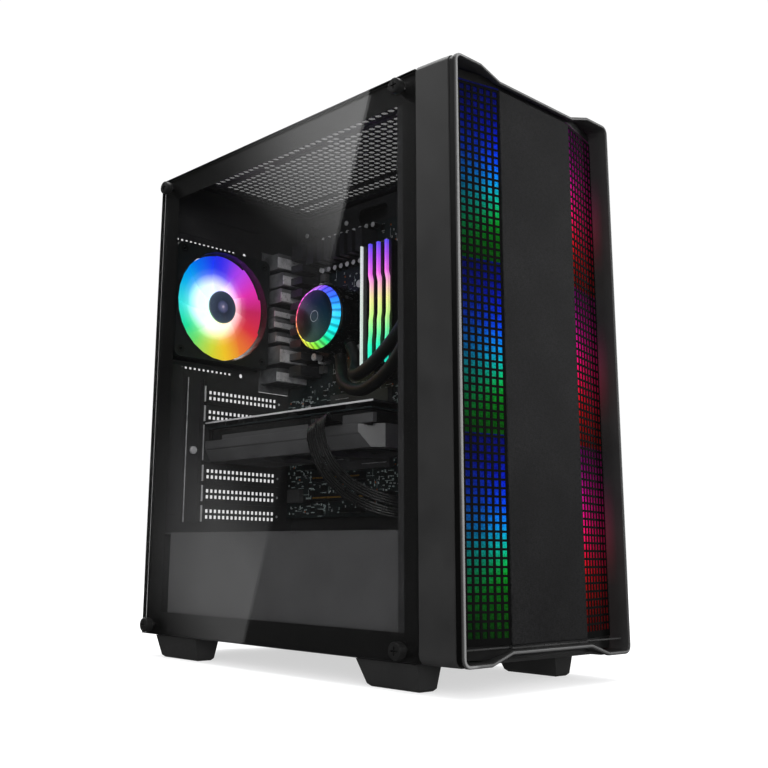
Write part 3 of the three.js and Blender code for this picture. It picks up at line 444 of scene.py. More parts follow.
# ---- shapes ---------------------------------------------------------------------------------
class Form:
    """A mesh in the making, in case millimetres, with one material index for each face."""

    def __init__(self):
        self.points = []
        self.faces = []
        self.kinds = []

    def add(self, points, faces, kind=0):
        base = len(self.points)
        self.points += [tuple(p) for p in points]
        self.faces += [[base + i for i in face] for face in faces]
        self.kinds += [kind] * len(faces)
        return self

    def block(self, x, y, z, kind=0):
        points = [(a, b, c) for a in x for b in y for c in z]
        faces = [(0, 1, 3, 2), (4, 6, 7, 5), (0, 4, 5, 1), (2, 3, 7, 6), (0, 2, 6, 4), (1, 5, 7, 3)]
        return self.add(points, faces, kind)

    def prism(self, axis, outline, low, high, kind=0):
        """An outline pushed along an axis: (y, z) for x, (x, z) for y, (x, y) for z."""
        def lift(a, b, c):
            return {"x": (c, a, b), "y": (a, c, b), "z": (a, b, c)}[axis]

        count = len(outline)
        points = [lift(a, b, low) for a, b in outline] + [lift(a, b, high) for a, b in outline]
        faces = [(i, (i + 1) % count, count + (i + 1) % count, count + i) for i in range(count)]
        faces += [tuple(range(count)), tuple(range(count, 2 * count))]
        return self.add(points, faces, kind)

    def turned(self, axis, centre, profile, sides=48, kind=0, knurl=0.0):
        """A closed profile of (radius, along) turned about an axis through centre."""
        points = []
        for i in range(sides):
            angle = math.tau * i / sides
            trim = 1 - knurl * (i % 2)
            for radius, along in profile:
                reach = radius * (trim if radius == max(r for r, _ in profile) else 1)
                a, b = reach * math.cos(angle), reach * math.sin(angle)
                offset = {"x": (along, a, b), "y": (a, along, b), "z": (a, b, along)}[axis]
                points.append([centre[k] + offset[k] for k in range(3)])
        count = len(profile)
        faces = []
        for i in range(sides):
            j = (i + 1) % sides
            for k in range(count):
                m = (k + 1) % count
                faces.append((i * count + k, j * count + k, j * count + m, i * count + m))
        return self.add(points, faces, kind)

    def disc(self, axis, centre, radius, low, high, sides=32, kind=0):
        a, b = {"x": (1, 2), "y": (0, 2), "z": (0, 1)}[axis]
        angles = [math.tau * i / sides for i in range(sides)]
        outline = [(centre[a] + radius * math.cos(t), centre[b] + radius * math.sin(t)) for t in angles]
        return self.prism(axis, outline, low, high, kind)

    def tube(self, path, radius, sides=12, kind=0):
        """A round tube through points, with flat ends."""
        points = [Vector(p) for p in path]
        side = Vector((0, 0, 1))
        rings = []
        for i, point in enumerate(points):
            ahead = (points[min(i + 1, len(points) - 1)] - points[max(i - 1, 0)]).normalized()
            side = (side - ahead * side.dot(ahead)).normalized()
            other = ahead.cross(side)
            angles = [math.tau * k / sides for k in range(sides)]
            rings.append([point + (side * math.cos(t) + other * math.sin(t)) * radius for t in angles])
        faces = []
        for i in range(len(points) - 1):
            for k in range(sides):
                m = (k + 1) % sides
                faces.append((i * sides + k, i * sides + m, (i + 1) * sides + m, (i + 1) * sides + k))
        faces.append(tuple(range(sides)))
        last = (len(points) - 1) * sides
        faces.append(tuple(last + k for k in range(sides)))
        return self.add([p for ring in rings for p in ring], faces, kind)

    def grating(self, us, vs, solid, place, kind=0):
        """A plate on a grid of lines, where solid(i, j) leaves cells open.

        place(u, v, face) gives a point of face 0 or 1.
        """
        index = {}
        points, faces = [], []

        def corner(i, j, face):
            key = (i, j, face)
            if key not in index:
                index[key] = len(points)
                points.append(place(us[i], vs[j], face))
            return index[key]

        cells = {(i, j) for i in range(len(us) - 1) for j in range(len(vs) - 1) if solid(i, j)}
        for i, j in cells:
            square = [(i, j), (i + 1, j), (i + 1, j + 1), (i, j + 1)]
            faces.append([corner(a, b, 0) for a, b in square])
            faces.append([corner(a, b, 1) for a, b in square])
            for k, (di, dj) in enumerate([(0, -1), (1, 0), (0, 1), (-1, 0)]):
                if (i + di, j + dj) not in cells:
                    a, b = square[k], square[(k + 1) % 4]
                    faces.append([corner(*a, 0), corner(*b, 0), corner(*b, 1), corner(*a, 1)])
        return self.add(points, faces, kind)

    def perforated(self, x, y, z, columns, rows, hole, skip, kind=0):
        """A sheet with rows of round holes; skip(x, y) keeps a cell whole."""
        wide, deep = (x[1] - x[0]) / columns, (y[1] - y[0]) / rows
        sides = 8
        for i in range(columns):
            for j in range(rows):
                a, b = x[0] + i * wide, x[0] + (i + 1) * wide
                low, high = y[0] + j * deep, y[0] + (j + 1) * deep
                u, v = (a + b) / 2, (low + high) / 2
                if skip(u, v):
                    self.block((a, b), (low, high), z, kind)
                    continue
                angles = [k * math.tau / sides for k in range(sides)]
                ring = [(u + hole * math.cos(t), v + hole * math.sin(t)) for t in angles]
                rim = [(b, v), (b, high), (u, high), (a, high), (a, v), (a, low), (u, low), (b, low)]
                points = [(p[0], p[1], h) for h in z for p in ring + rim]
                faces = []
                for k in range(sides):
                    m = (k + 1) % sides
                    faces.append((k, k + sides, m + sides, m))
                    faces.append((k + 2 * sides, m + 2 * sides, m + 3 * sides, k + 3 * sides))
                    faces.append((k, m, m + 2 * sides, k + 2 * sides))
                self.add(points, faces, kind)
        return self


def frame_cell(i, j):
    """Solid cells of a three by three grid that is open in the middle."""
    return (i, j) != (1, 1)


def hole_cells(rows=None):
    """Solid cells of a grid whose odd columns have holes in its odd rows, or in the rows named."""
    return lambda i, j: not (i % 2 and (j in rows if rows else j % 2))


def level(axis, near, thick):
    """A place for grating: a flat plate square to an axis, from near to near + thick along it."""
    def place(u, v, face):
        along = near + face * thick
        return {"x": (along, u, v), "y": (u, along, v), "z": (u, v, along)}[axis]

    return place


def smooth_path(points, steps):
    """Catmull-Rom through the points."""
    knots = [Vector(p) for p in points]
    knots = [knots[0] * 2 - knots[1]] + knots + [knots[-1] * 2 - knots[-2]]
    path = []
    for i in range(1, len(knots) - 2):
        a, b, c, d = knots[i - 1:i + 3]
        for k in range(steps):
            t = k / steps
            path.append(0.5 * (2 * b + (c - a) * t + (2 * a - 5 * b + 4 * c - d) * t * t
                               + (3 * b - a - 3 * c + d) * t ** 3))
    return path + [knots[-2]]


def soften(obj, edge, segments=2, angle=38):
    """Small rounded edges."""
    rounding = obj.modifiers.new("Edges", "BEVEL")
    rounding.width = edge * MM
    rounding.segments = segments
    rounding.limit_method = "ANGLE"
    rounding.angle_limit = math.radians(angle)
    rounding.use_clamp_overlap = True


JOIN_DISTANCE = 0.002 * MM


def in_scene(name, data):
    obj = bpy.data.objects.new(name, data)
    bpy.context.scene.collection.objects.link(obj)
    return obj


def mesh_of(name, form, join, outwards=True):
    """A form as a mesh; points closer than join are joined, and faces can be turned outwards."""
    mesh = bpy.data.meshes.new(name)
    mesh.from_pydata([at(*p) for p in form.points], [], form.faces)
    mesh.polygons.foreach_set("material_index", form.kinds)
    if outwards:
        work = bmesh.new()
        work.from_mesh(mesh)
        if join:
            bmesh.ops.remove_doubles(work, verts=work.verts, dist=join)
        bmesh.ops.recalc_face_normals(work, faces=work.faces)
        work.to_mesh(mesh)
        work.free()
    return mesh


def piece(name, form, body, looks, replaces=(), edge=0.0, crisp=35, tidy=True):
    """A visual piece on a body, with one look for each kind of face."""
    mesh = mesh_of(name, form, JOIN_DISTANCE, tidy)
    for look in looks:
        mesh.materials.append(look)
    mesh.shade_smooth()
    mesh.set_sharp_from_angle(angle=math.radians(crisp))
    obj = in_scene(name, mesh)
    if edge:
        soften(obj, edge)
    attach(obj, body)
    if replaces:
        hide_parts(*replaces)
    return obj


def keep(node, look, edge=0.25, crisp=35):
    """Shows a CAD node as it is, with a material and softened edges."""
    obj = frame["nodes"][node]
    obj.data.materials.clear()
    obj.data.materials.append(look)
    obj.data.polygons.foreach_set("material_index", [0] * len(obj.data.polygons))
    obj.data.shade_smooth()
    obj.data.set_sharp_from_angle(angle=math.radians(crisp))
    if edge:
        soften(obj, edge)
    return obj


def carve(obj, form):
    """Cuts a hidden form out of an object, before its edges are softened."""
    name = obj.name + "_cutter"
    tool = in_scene(name, mesh_of(name, form, 0))
    tool.hide_render = True
    tool.hide_viewport = True
    tool.parent = obj.parent
    cut = obj.modifiers.new("Openings", "BOOLEAN")
    cut.operation = "DIFFERENCE"
    cut.object = tool
    cut.solver = "EXACT"
    obj.modifiers.move(len(obj.modifiers) - 1, 0)


def rounded(a, b, radius, steps=5):
    """A rectangle's outline with round corners."""
    corners = [(a[1], b[1], 0), (a[0], b[1], 1), (a[0], b[0], 2), (a[1], b[0], 3)]
    outline = []
    for u, v, quarter in corners:
        cu = u - radius if u == a[1] else u + radius
        cv = v - radius if v == b[1] else v + radius
        for k in range(steps + 1):
            angle = (quarter + k / steps) * math.pi / 2
            outline.append((cu + radius * math.cos(angle), cv + radius * math.sin(angle)))
    return outline


# ---- front: bezel, strips, plate and the filter behind them -------------------------------------
STRIP_INNER, STRIP_OUTER = 47.9, 99.8
HOLE, HOLE_RISE, HOLE_PITCH_X, HOLE_PITCH_Z = 4.2, 4.5, 6.35, 6.335
HOLE_COLUMNS, HOLE_ROWS, FIRST_ROW_Z = 8, 67, 41.3
STRIP_THICK = 0.6


def strip_y(x):
    """The strips lean back towards the sides."""
    return -204.2 + max(0, abs(x) - STRIP_INNER) * 0.235


def bezel_outline(y, inset):
    """Round corners, and a dip in the middle of each edge that dies out behind the rim."""
    back = min(1, max(0, (y + 207) / 17))
    rest = min(1, max(0, (y + 190) / 24))
    top = 477.5 + 1.5 * back + rest - inset
    bottom = 20.3 - 0.3 * back + inset
    dip = 7.2 * (1 - back)
    half, radius = 105 - inset, 7 - inset

    def corner(cx, cz, quarter):
        angles = [(quarter + k / 6) * math.pi / 2 for k in range(7)]
        return [(cx + radius * math.cos(a), y, cz + radius * math.sin(a)) for a in angles]

    return (
        corner(half - radius, top - radius, 0)
        + [(73.5, y, top), (50, y, top - dip), (-50, y, top - dip), (-73.5, y, top)]
        + corner(-half + radius, top - radius, 1)
        + corner(-half + radius, bottom + radius, 2)
        + [(-73.5, y, bottom), (-50, y, bottom + dip), (50, y, bottom + dip), (73.5, y, bottom)]
        + corner(half - radius, bottom + radius, 3)
    )


def front_bezel():
    """A lofted shell that is dark inside, with the frame that carries the strips and the plate."""
    form = Form()
    outer = [(-208, 1.0), (-207.7, 0.4), (-207, 0), (-204.8, 0), (-204.5, 0.9), (-200, 0.9), (-199.7, 0),
             (-190, 0), (-178, 0), (-166.4, 0)]
    inner = [(-166.4, 3), (-178, 3), (-190, 3), (-198, 3), (-207, 3), (-207.7, 2.7), (-208, 2.2)]
    sections = [bezel_outline(y, inset) for y, inset in outer + inner]
    count = len(sections[0])
    faces = []
    kinds = []
    for s in range(len(sections)):
        following = (s + 1) % len(sections)
        inside = len(outer) <= s < len(sections) - 1
        for i in range(count):
            j = (i + 1) % count
            faces.append((s * count + i, s * count + j, following * count + j, following * count + i))
            kinds.append(2 if inside else 0)
    form.add([p for section in sections for p in section], faces)
    form.kinds = kinds

    def lean(xs, z, kind):
        near = [(x, strip_y(x) + 1.7) for x in xs]
        far = [(x, strip_y(x) + 4.4) for x in reversed(xs)]
        form.prism("z", near + far, *z, kind)

    for side in (-1, 1):
        lean(sorted((side * 90.5, side * 101.9)), (24, 474), 1)
    for z in ((465, 474), (24, 37.5)):
        lean([-90.5, -STRIP_INNER, STRIP_INNER, 90.5], z, 1)
    looks = [bezel_shell, dark_plastic, wall_plastic]
    piece("bezel", form, "front_cover", looks, ["front_bezel"], crisp=50)


def perforated_strip(name, side):
    """A thin leaning sheet with square holes; side is -1 or +1."""
    us = [STRIP_INNER]
    for k in range(HOLE_COLUMNS):
        left = STRIP_INNER + 0.55 + k * HOLE_PITCH_X + (HOLE_PITCH_X - HOLE) / 2
        us += [left, left + HOLE]
    us.append(STRIP_OUTER)
    vs = [34]
    for k in range(HOLE_ROWS):
        centre = FIRST_ROW_Z + k * HOLE_PITCH_Z
        vs += [centre - HOLE_RISE / 2, centre + HOLE_RISE / 2]
    vs.append(464)
    form = Form().grating(
        us, vs, hole_cells(), lambda u, v, face: (side * u, strip_y(u) + STRIP_THICK * face, v),
    )
    piece(name + "_holes", form, "front_cover", [strip_plastic], [name])


strip_plastic = surface("strip_plastic", 5, 8, (0.6, 0.7), relief=0.1, Specular_IOR_Level=0.08)
FANS_Z = [middle(f"front_fan_rotor_{k}")[2] for k in (1, 2, 3)]


def inner_wall_look():
    """The bezel's inner walls, with a little of the fans' light painted on them as emission, fading towards
    the front edge.
    """
    look = Look("wall_plastic")
    colour, reach = fan_spill(look, FANS_Z)
    painted_light_fade = look.ramp(reach, [(0.85, 255), (0.95, 120), (1.0, 40)])
    deep = look.math("DIVIDE", look.math("SUBTRACT", look.axes(look.place())["Y"], CASE_FRONT_Y), 18)
    deep = look.ramp(deep, [(0.0, 20), (0.4, 90), (1.0, 255)])
    # painted light: the fans' colours, dimmer near the front edge of the walls
    tint = look.times(look.times(colour, painted_light_fade), deep)
    body = look.ramp(look.noise(look.place(), 0.03), [(0.3, 28), (0.7, 34)])
    look.set(Base_Color=body, Roughness=0.42, Specular_IOR_Level=0.3)
    look.set(Emission_Color=tint, Emission_Strength=0.2)
    return look.mat


wall_plastic = inner_wall_look()
front_bezel()
perforated_strip("mesh_strip_left", -1)
perforated_strip("mesh_strip_right", 1)
plate = Form().block(*box_mm("front_centre_plate"))
piece("centre_plate", plate, "front_cover", [woven], ["front_centre_plate"], 0.5)
trim = Form()
trim.block((-98, -49), (-203.6, -201.8), (31.8, 32.9)).block((-47, 47), (-205, -203), (31.2, 32.4))
trim.block((49, 98), (-203.6, -201.8), (31.8, 32.9))
piece("lower_trim", trim, "front_cover", [rim_plastic], edge=0.2)

filter_look = front_filter_look(FANS_Z)
for name, ends in (("left", (-99, -STRIP_INNER + 1)), ("right", (STRIP_INNER - 1, 99))):
    sheet = [(x, strip_y(x) + 0.9) for x in ends] + [(x, strip_y(x) + 1.4) for x in reversed(ends)]
    front_filter = Form().prism("z", sheet, 34, 466)
    piece(f"front_filter_{name}", front_filter, "front_cover", [filter_look])


# ---- case panels ----------------------------------------------------------------------------
keep("bottom_panel", steel_paint)
keep("front_chassis_panel", inner_paint)
keep("psu_shroud", shroud_paint, 0.4)
keep("steel_side_panel", steel_paint, 0.4)
for end in ("front", "rear"):
    for side in ("left", "right"):
        keep(f"foot_{end}_{side}", foot_plastic, 1.0)
for node, edge in (("psu_dust_filter", 0.25), ("power_button", 0.5), ("reset_button", 0.4)):
    keep(node, dark_plastic, edge)
keep("front_port_module", dark_plastic)

keep("motherboard_tray", inner_paint)
tray_x = box_mm("motherboard_tray")[0][0]
rear = keep("rear_panel", inner_paint)
vents = Form()
FAN_X, FAN_Y, FAN_Z = middle("rear_fan_frame")
for z in (FAN_Z + 67, FAN_Z - 67.5):
    for k in range(14):
        x = FAN_X - 50 + k * 5.6
        vents.block((x - 1.5, x + 1.5), (180, 190), (z - 1.1, z + 1.1))
    vents.disc("y", (FAN_X + 38, 0, z), 2.2, 180, 190, 12)
    vents.disc("y", (FAN_X - 56, 0, z), 2.0, 180, 190, 12)
carve(rear, vents)

relief = Form()
relief.prism("y", rounded((-96, -76.5), (133, 284), 4), 183.3, 184.1)
relief.prism("y", rounded((-92, -12), (424, 438), 3), 183.3, 184.1)
relief.prism("y", rounded((-95, 20), (446, 466), 4), 183.4, 184.1)
piece("rear_relief", relief, "chassis", [inner_paint], edge=0.35)
studs = Form()
for y, z in ((-118, 430), (-118, 150), (-75, 455), (165, 452), (100, 452), (20, 452)):
    studs.disc("x", (0, y, z), 2.6, tray_x - 1.6, tray_x + 0.1, 12)
piece("tray_screws", studs, "chassis", [bright_steel], edge=0.4)
ring = Form().turned("x", (tray_x, 152, 455), [(11, -0.4), (12.2, -0.4), (12.2, 0.1), (11, 0.1)], 40)
for k in range(5):
    y = 146 + k * 3
    bar = [(y - 0.5, 449), (y + 0.9, 449), (y + 2.4, 461), (y + 1.0, 461)]
    ring.prism("x", bar, tray_x - 0.4, tray_x + 0.1, 1)
piece("tray_vent", ring, "chassis", [inner_paint, rim_plastic])

keep("glass_panel", clear_glass, 0.5)
glass_x = box_mm("glass_panel")[0][1]
border = Form().grating(
    [-165.2, -148.5, 167, 192.5], [21, 41, 454, 476.5], frame_cell, level("x", glass_x + 0.03, 0.12),
)
for z in (20.45, 476.95):
    border.block((-104.7, -100.85), (-165.6, 192.9), (z, z + 0.1))
for y in (-165.75, 192.95):
    border.block((-104.7, -100.85), (y, y + 0.1), (20.6, 476.9))
piece("glass_border", border, "glass_side", [border_paint])


def thumbscrew(node, axis, out):
    """A knurled head with a cross recess; out is +1 or -1, the way the head points."""
    spans = box_mm(node)
    k = "xyz".index(axis)
    tip = spans[k][1] if out > 0 else spans[k][0]
    end = spans[k][0] if out > 0 else spans[k][1]
    length = 8.0 if axis == "x" else 10.1
    centre = middle(node)
    centre[k] = 0
    marks = [(0, 0), (5.4, 0), (6.0, 0.25), (6.5, 1.0), (6.5, length - 1.6), (5.6, length - 0.9),
             (5.6, length), (1.9, length)]
    profile = [(r, tip - out * a) for r, a in marks] + [(1.9, end), (0, end)]
    form = Form().turned(axis, centre, profile, 56, 0, 0.035)
    obj = piece(node + "_head", form, node, [screw_black], [node], crisp=30)
    u, v = (centre[1], centre[2]) if axis == "x" else (centre[0], centre[2])
    a, b = 3.3, 0.65
    arm = [(a, -b), (a, b), (b, b)]
    cross = []
    for _ in range(4):
        cross += arm
        arm = [(-q, p) for p, q in arm]
    depth = sorted((tip + out, tip - out * 2.2))
    carve(obj, Form().prism(axis, [(u + p, v + q) for p, q in cross], *depth))


for node in frame["nodes"]:
    if node.startswith("glass_screw"):
        thumbscrew(node, "x", -1)
    if node.startswith("side_screw"):
        thumbscrew(node, "y", 1)


# ---- top: perforated field, filter and ports ------------------------------------------------------
top = keep("top_panel", steel_paint)
FIELD_X, FIELD_Y, FIELD_Z = (-74, 65), (-125, 154), (471.05, 471.95)
carve(top, Form().block(FIELD_X, FIELD_Y, (470, 473)))
SLOTS = [(x, y) for x in (-62, 37) for y in ((-112, -34), (-18, 60), (76, 142))]


def field_cell(x, y):
    """Whether a cell of the field is left whole, because a long slot's rib runs there."""
    return any(abs(x - sx) < 4.2 and low - 2 < y < high + 2 for sx, (low, high) in SLOTS)


grille = Form().perforated(FIELD_X, FIELD_Y, FIELD_Z, 18, 36, 3.3, field_cell)
piece("top_grille", grille, "chassis", [inner_paint], tidy=False)
edges = Form()
for sx, (low, high) in SLOTS:
    edges.block((sx - 0.9, sx + 0.9), (low + 4, high - 4), (470.7, 471.1))
piece("grille_slots", edges, "chassis", [rim_plastic])

fx, fy, fz = box_mm("top_dust_filter")
cover = Form().grating(
    [fx[0], fx[0] + 8, fx[1] - 8, fx[1]], [fy[0], fy[0] + 8, fy[1] - 8, fy[1]],
    frame_cell, level("z", fz[0], fz[1] - fz[0]),
)
piece("top_filter_frame", cover, "top_filter", [dark_plastic], ["top_dust_filter"], 0.4)
cloth = Form().block((fx[0] + 7, fx[1] - 7), (fy[0] + 7, fy[1] - 7), (fz[1] - 1.0, fz[1] - 0.7))
piece("top_filter_cloth", cloth, "top_filter", [top_cloth])

PORT_Y = middle("front_port_module")[1] + 2
tongues = Form()
for x in (-22, 0, 22):
    tongues.block((x - 4.8, x + 4.8), (PORT_Y - 0.4, PORT_Y + 1.4), (464.5, 476.5))
piece("usb_tongues", tongues, "chassis", [port_blue], edge=0.2)


# ---- rear fan -------------------------------------------------------------------------------------
keep("rear_fan_frame", fan_plastic, 0.6)
for k in (1, 2, 3):
    keep(f"front_fan_frame_{k}", fan_plastic)


def fan_blades(centre, hub, tip, depth, blades, chord_turn):
    """Broad swept blades that overlap a little, as thin curved sheets."""
    form = Form()
    radial, along = 8, 10
    for n in range(blades):
        start = math.tau * n / blades
        points = []
        for face in (0, 1):
            for i in range(radial + 1):
                t = i / radial
                radius = hub - 1 + (tip - hub + 1) * t
                for j in range(along + 1):
                    s = j / along
                    angle = start + 0.35 * t + (s - 0.5) * chord_turn
                    y = (s - 0.5) * depth * (1 - 0.35 * t) + 0.9 * math.sin(s * math.pi) + face * 0.7
                    x, z = radius * math.sin(angle), radius * math.cos(angle)
                    points.append((centre[0] + x, centre[1] + y, centre[2] + z))
        half = (radial + 1) * (along + 1)

        def at_grid(i, j, face):
            return face * half + i * (along + 1) + j

        faces = []
        for face in (0, 1):
            for i in range(radial):
                for j in range(along):
                    square = [(i, j), (i + 1, j), (i + 1, j + 1), (i, j + 1)]
                    faces.append([at_grid(a, b, face) for a, b in square])
        loop = [(i, 0) for i in range(radial)] + [(radial, j) for j in range(along)]
        loop += [(radial - i, along) for i in range(radial)] + [(0, along - j) for j in range(along)]
        for k, (i, j) in enumerate(loop):
            m, q = loop[(k + 1) % len(loop)]
            faces.append([at_grid(i, j, 0), at_grid(m, q, 0), at_grid(m, q, 1), at_grid(i, j, 1)])
        form.add(points, faces)
    return form


def lit_rotor(node, look, hub_look):
    """Blades, a hub and its cap, in place of a CAD rotor."""
    centre = middle(node)
    front = box_mm(node)[1][0]
    form = fan_blades((centre[0], centre[1] - 2, centre[2]), 17, 56, 4, 9, 0.98)
    axis = (centre[0], 0, centre[2])
    cap = [(0.05, 0.3), (6.0, 0.3), (6.6, 0.9), (15.6, 0.9), (17.4, 2), (17.4, 3), (0.05, 3)]
    hub = [(0.05, 3), (17.8, 3), (18, 17), (0.05, 17)]
    form.turned("y", axis, [(r, front + y) for r, y in cap], 48, 1)
    form.turned("y", axis, [(r, front + y) for r, y in hub], 48, 0)
    piece(node + "_lit", form, node, [look, hub_look], [node], crisp=50)


def fan_hub_look():
    """A hub with a painted reflection of the lamps round it, given as emission: a bright centre and a pale
    ring at its edge.
    """
    look = Look("fan_hub")
    parts = look.axes(look.place((FAN_X, FAN_Y, FAN_Z)))
    # painted reflection: bright at the centre, dark between, pale again at the edge
    tone = look.ramp(look.math("DIVIDE", look.distance(parts["X"], parts["Z"]), 20), [
        (0.0, (190, 175, 190)), (0.1, (96, 98, 128)), (0.28, (66, 72, 104)), (0.36, (40, 48, 66)),
        (0.8, (56, 66, 84)), (0.9, (120, 140, 120)),
    ])
    look.set(Base_Color=tone, Roughness=0.3, Emission_Color=tone, Emission_Strength=0.75)
    return look.mat


plain_hub = surface("plain_hub", 20, 28, (0.3, 0.4))

rear_light = lit_fan_look("rear_fan_light", (FAN_X, FAN_Y, FAN_Z), FAN_RING, 1.1, 5)
lit_rotor("rear_fan_rotor", rear_light, fan_hub_look())
for k, z in enumerate(FANS_Z, 1):
    look = lit_fan_look(f"front_fan_light_{k}", (0, 0, z), FRONT_RING, 1.0)
    lit_rotor(f"front_fan_rotor_{k}", look, plain_hub)

FAN_SCREW_PITCH = 105
corner_screws = Form()
fan_front = box_mm("rear_fan_frame")[1][0]
washer = [(2.2, -0.02), (3.9, -0.1), (4.3, -0.1), (4.3, 0.1), (2.2, 0.1)]
for across in (-0.5, 0.5):
    for up in (-0.5, 0.5):
        place = (FAN_X + across * FAN_SCREW_PITCH, 0, FAN_Z + up * FAN_SCREW_PITCH)
        corner_screws.turned("y", place, [(r, fan_front + y) for r, y in washer], 20)
piece("rear_fan_pads", corner_screws, "chassis", [screw_black])


# ---- motherboard ----------------------------------------------------------------------------------
BOARD_FACE = 66
PUMP_Y, PUMP_Z = 86, 335.5
RAM_Y = [middle(f"memory_stick_{k}")[1] for k in (1, 2, 3, 4)]
# pale solder with a faint emission, a painted glint that keeps the legs showing in shade
glinting_solder = surface("glinting_solder", (112, 128, 128), (196, 204, 202), (0.3, 0.5), cell=60, relief=0.0,
                 Emission_Color=linear((170, 190, 188)), Emission_Strength=0.16)
SOCKETS = [
    (27, 55, 404, 418), (29, 43, 384, 396), (29, 43, 366, 378), (27, 41, 350, 358),
    (27, 41, 338, 346), (27, 41, 322, 330), (27, 43, 298, 314), (27, 56, 278, 290),
]
PCB, CAN, BLACK, GOLD, WHITE, COVER, COPPER, EDGE, SOLDER = range(9)


def rear_ports(form):
    """Metal cans with open mouths behind the rear shield, each of its own depth."""
    floor_y, mouth, shield_y, shield = 171.5, 11, 182.6, 2.4
    depths = [157, 150, 153, 161, 161, 158, 150, 155]
    for (left, right, low, high), front in zip(SOCKETS, depths):
        us = [left - 2.2, left, right, BOARD_FACE]
        vs = [low - 1.6, low, high, high + 1.6]
        form.block((us[0], us[3]), (front, floor_y), (vs[0], vs[3]), CAN)
        form.grating(us, vs, frame_cell, level("y", floor_y, mouth), CAN)
        form.block((left + 1, right - 1), (floor_y, floor_y + 0.9), (low + 1, high - 1), BLACK)
        form.block((left - 3.2, BOARD_FACE), (front - 1.4, front - 0.2), (low - 0.6, high - 3), EDGE)
    us = sorted({23.4, 64.7} | {v for s in SOCKETS for v in s[:2]})
    vs = sorted({268.5, 425.5} | {v for s in SOCKETS for v in s[2:]})

    def solid(i, j):
        u, v = (us[i] + us[i + 1]) / 2, (vs[j] + vs[j + 1]) / 2
        return not any(a < u < b and c < v < d for a, b, c, d in SOCKETS)

    form.grating(us, vs, solid, level("y", shield_y, shield), CAN)


def clear_of(taken, y, z, reach):
    """Whether a point keeps its distance from the areas that are already filled."""
    return all(not (a - reach < y < b + reach and c - reach < z < d + reach) for a, b, c, d in taken)


def small_parts(form, taken, count, seed, depth, heights, pale):
    """Resistors, chips and their pale legs, scattered over one free area of the board."""
    pick = random.Random(seed)
    face = BOARD_FACE

    def dot(height, wide, tall, look, sunk=0.0):
        form.block((face - height, face + sunk), (y - wide, y + wide), (z - tall, z + tall), look)

    placed = 0
    while placed < count:
        y, z = pick.uniform(*depth), pick.uniform(*heights)
        kind = pick.random()
        reach = 3.5 if kind > 0.9 else 1.2
        if not clear_of(taken, y, z, reach):
            continue
        placed += 1
        if kind > 0.9:
            h, w = pick.uniform(2, 4), pick.uniform(2, 4)
            dot(1.6, w, h, BLACK, 0.1)
            for m in range(4):
                s = y + (m - 1.5) * w / 2
                form.block((face - 0.5, face), (s - 0.25, s + 0.25), (z - h - 0.9, z + h + 0.9), pale)
            taken.append((y - w, y + w, z - h, z + h))
        elif kind > 0.3:
            h, w = pick.choice([(0.5, 1.0), (1.0, 0.5)])
            dot(0.7, w, h, pale if kind > 0.55 else WHITE, 0.1)
            dot(0.85, w * 0.5, h * 0.5, BLACK)
        elif kind > 0.24:
            dot(0.8, 0.6, 0.9, COPPER)
        else:
            length = pick.uniform(1.5, 7)
            w, h = (length, 0.16) if pick.random() > 0.5 else (0.16, length)
            dot(0.06, w, h, pale if pale == SOLDER else WHITE)


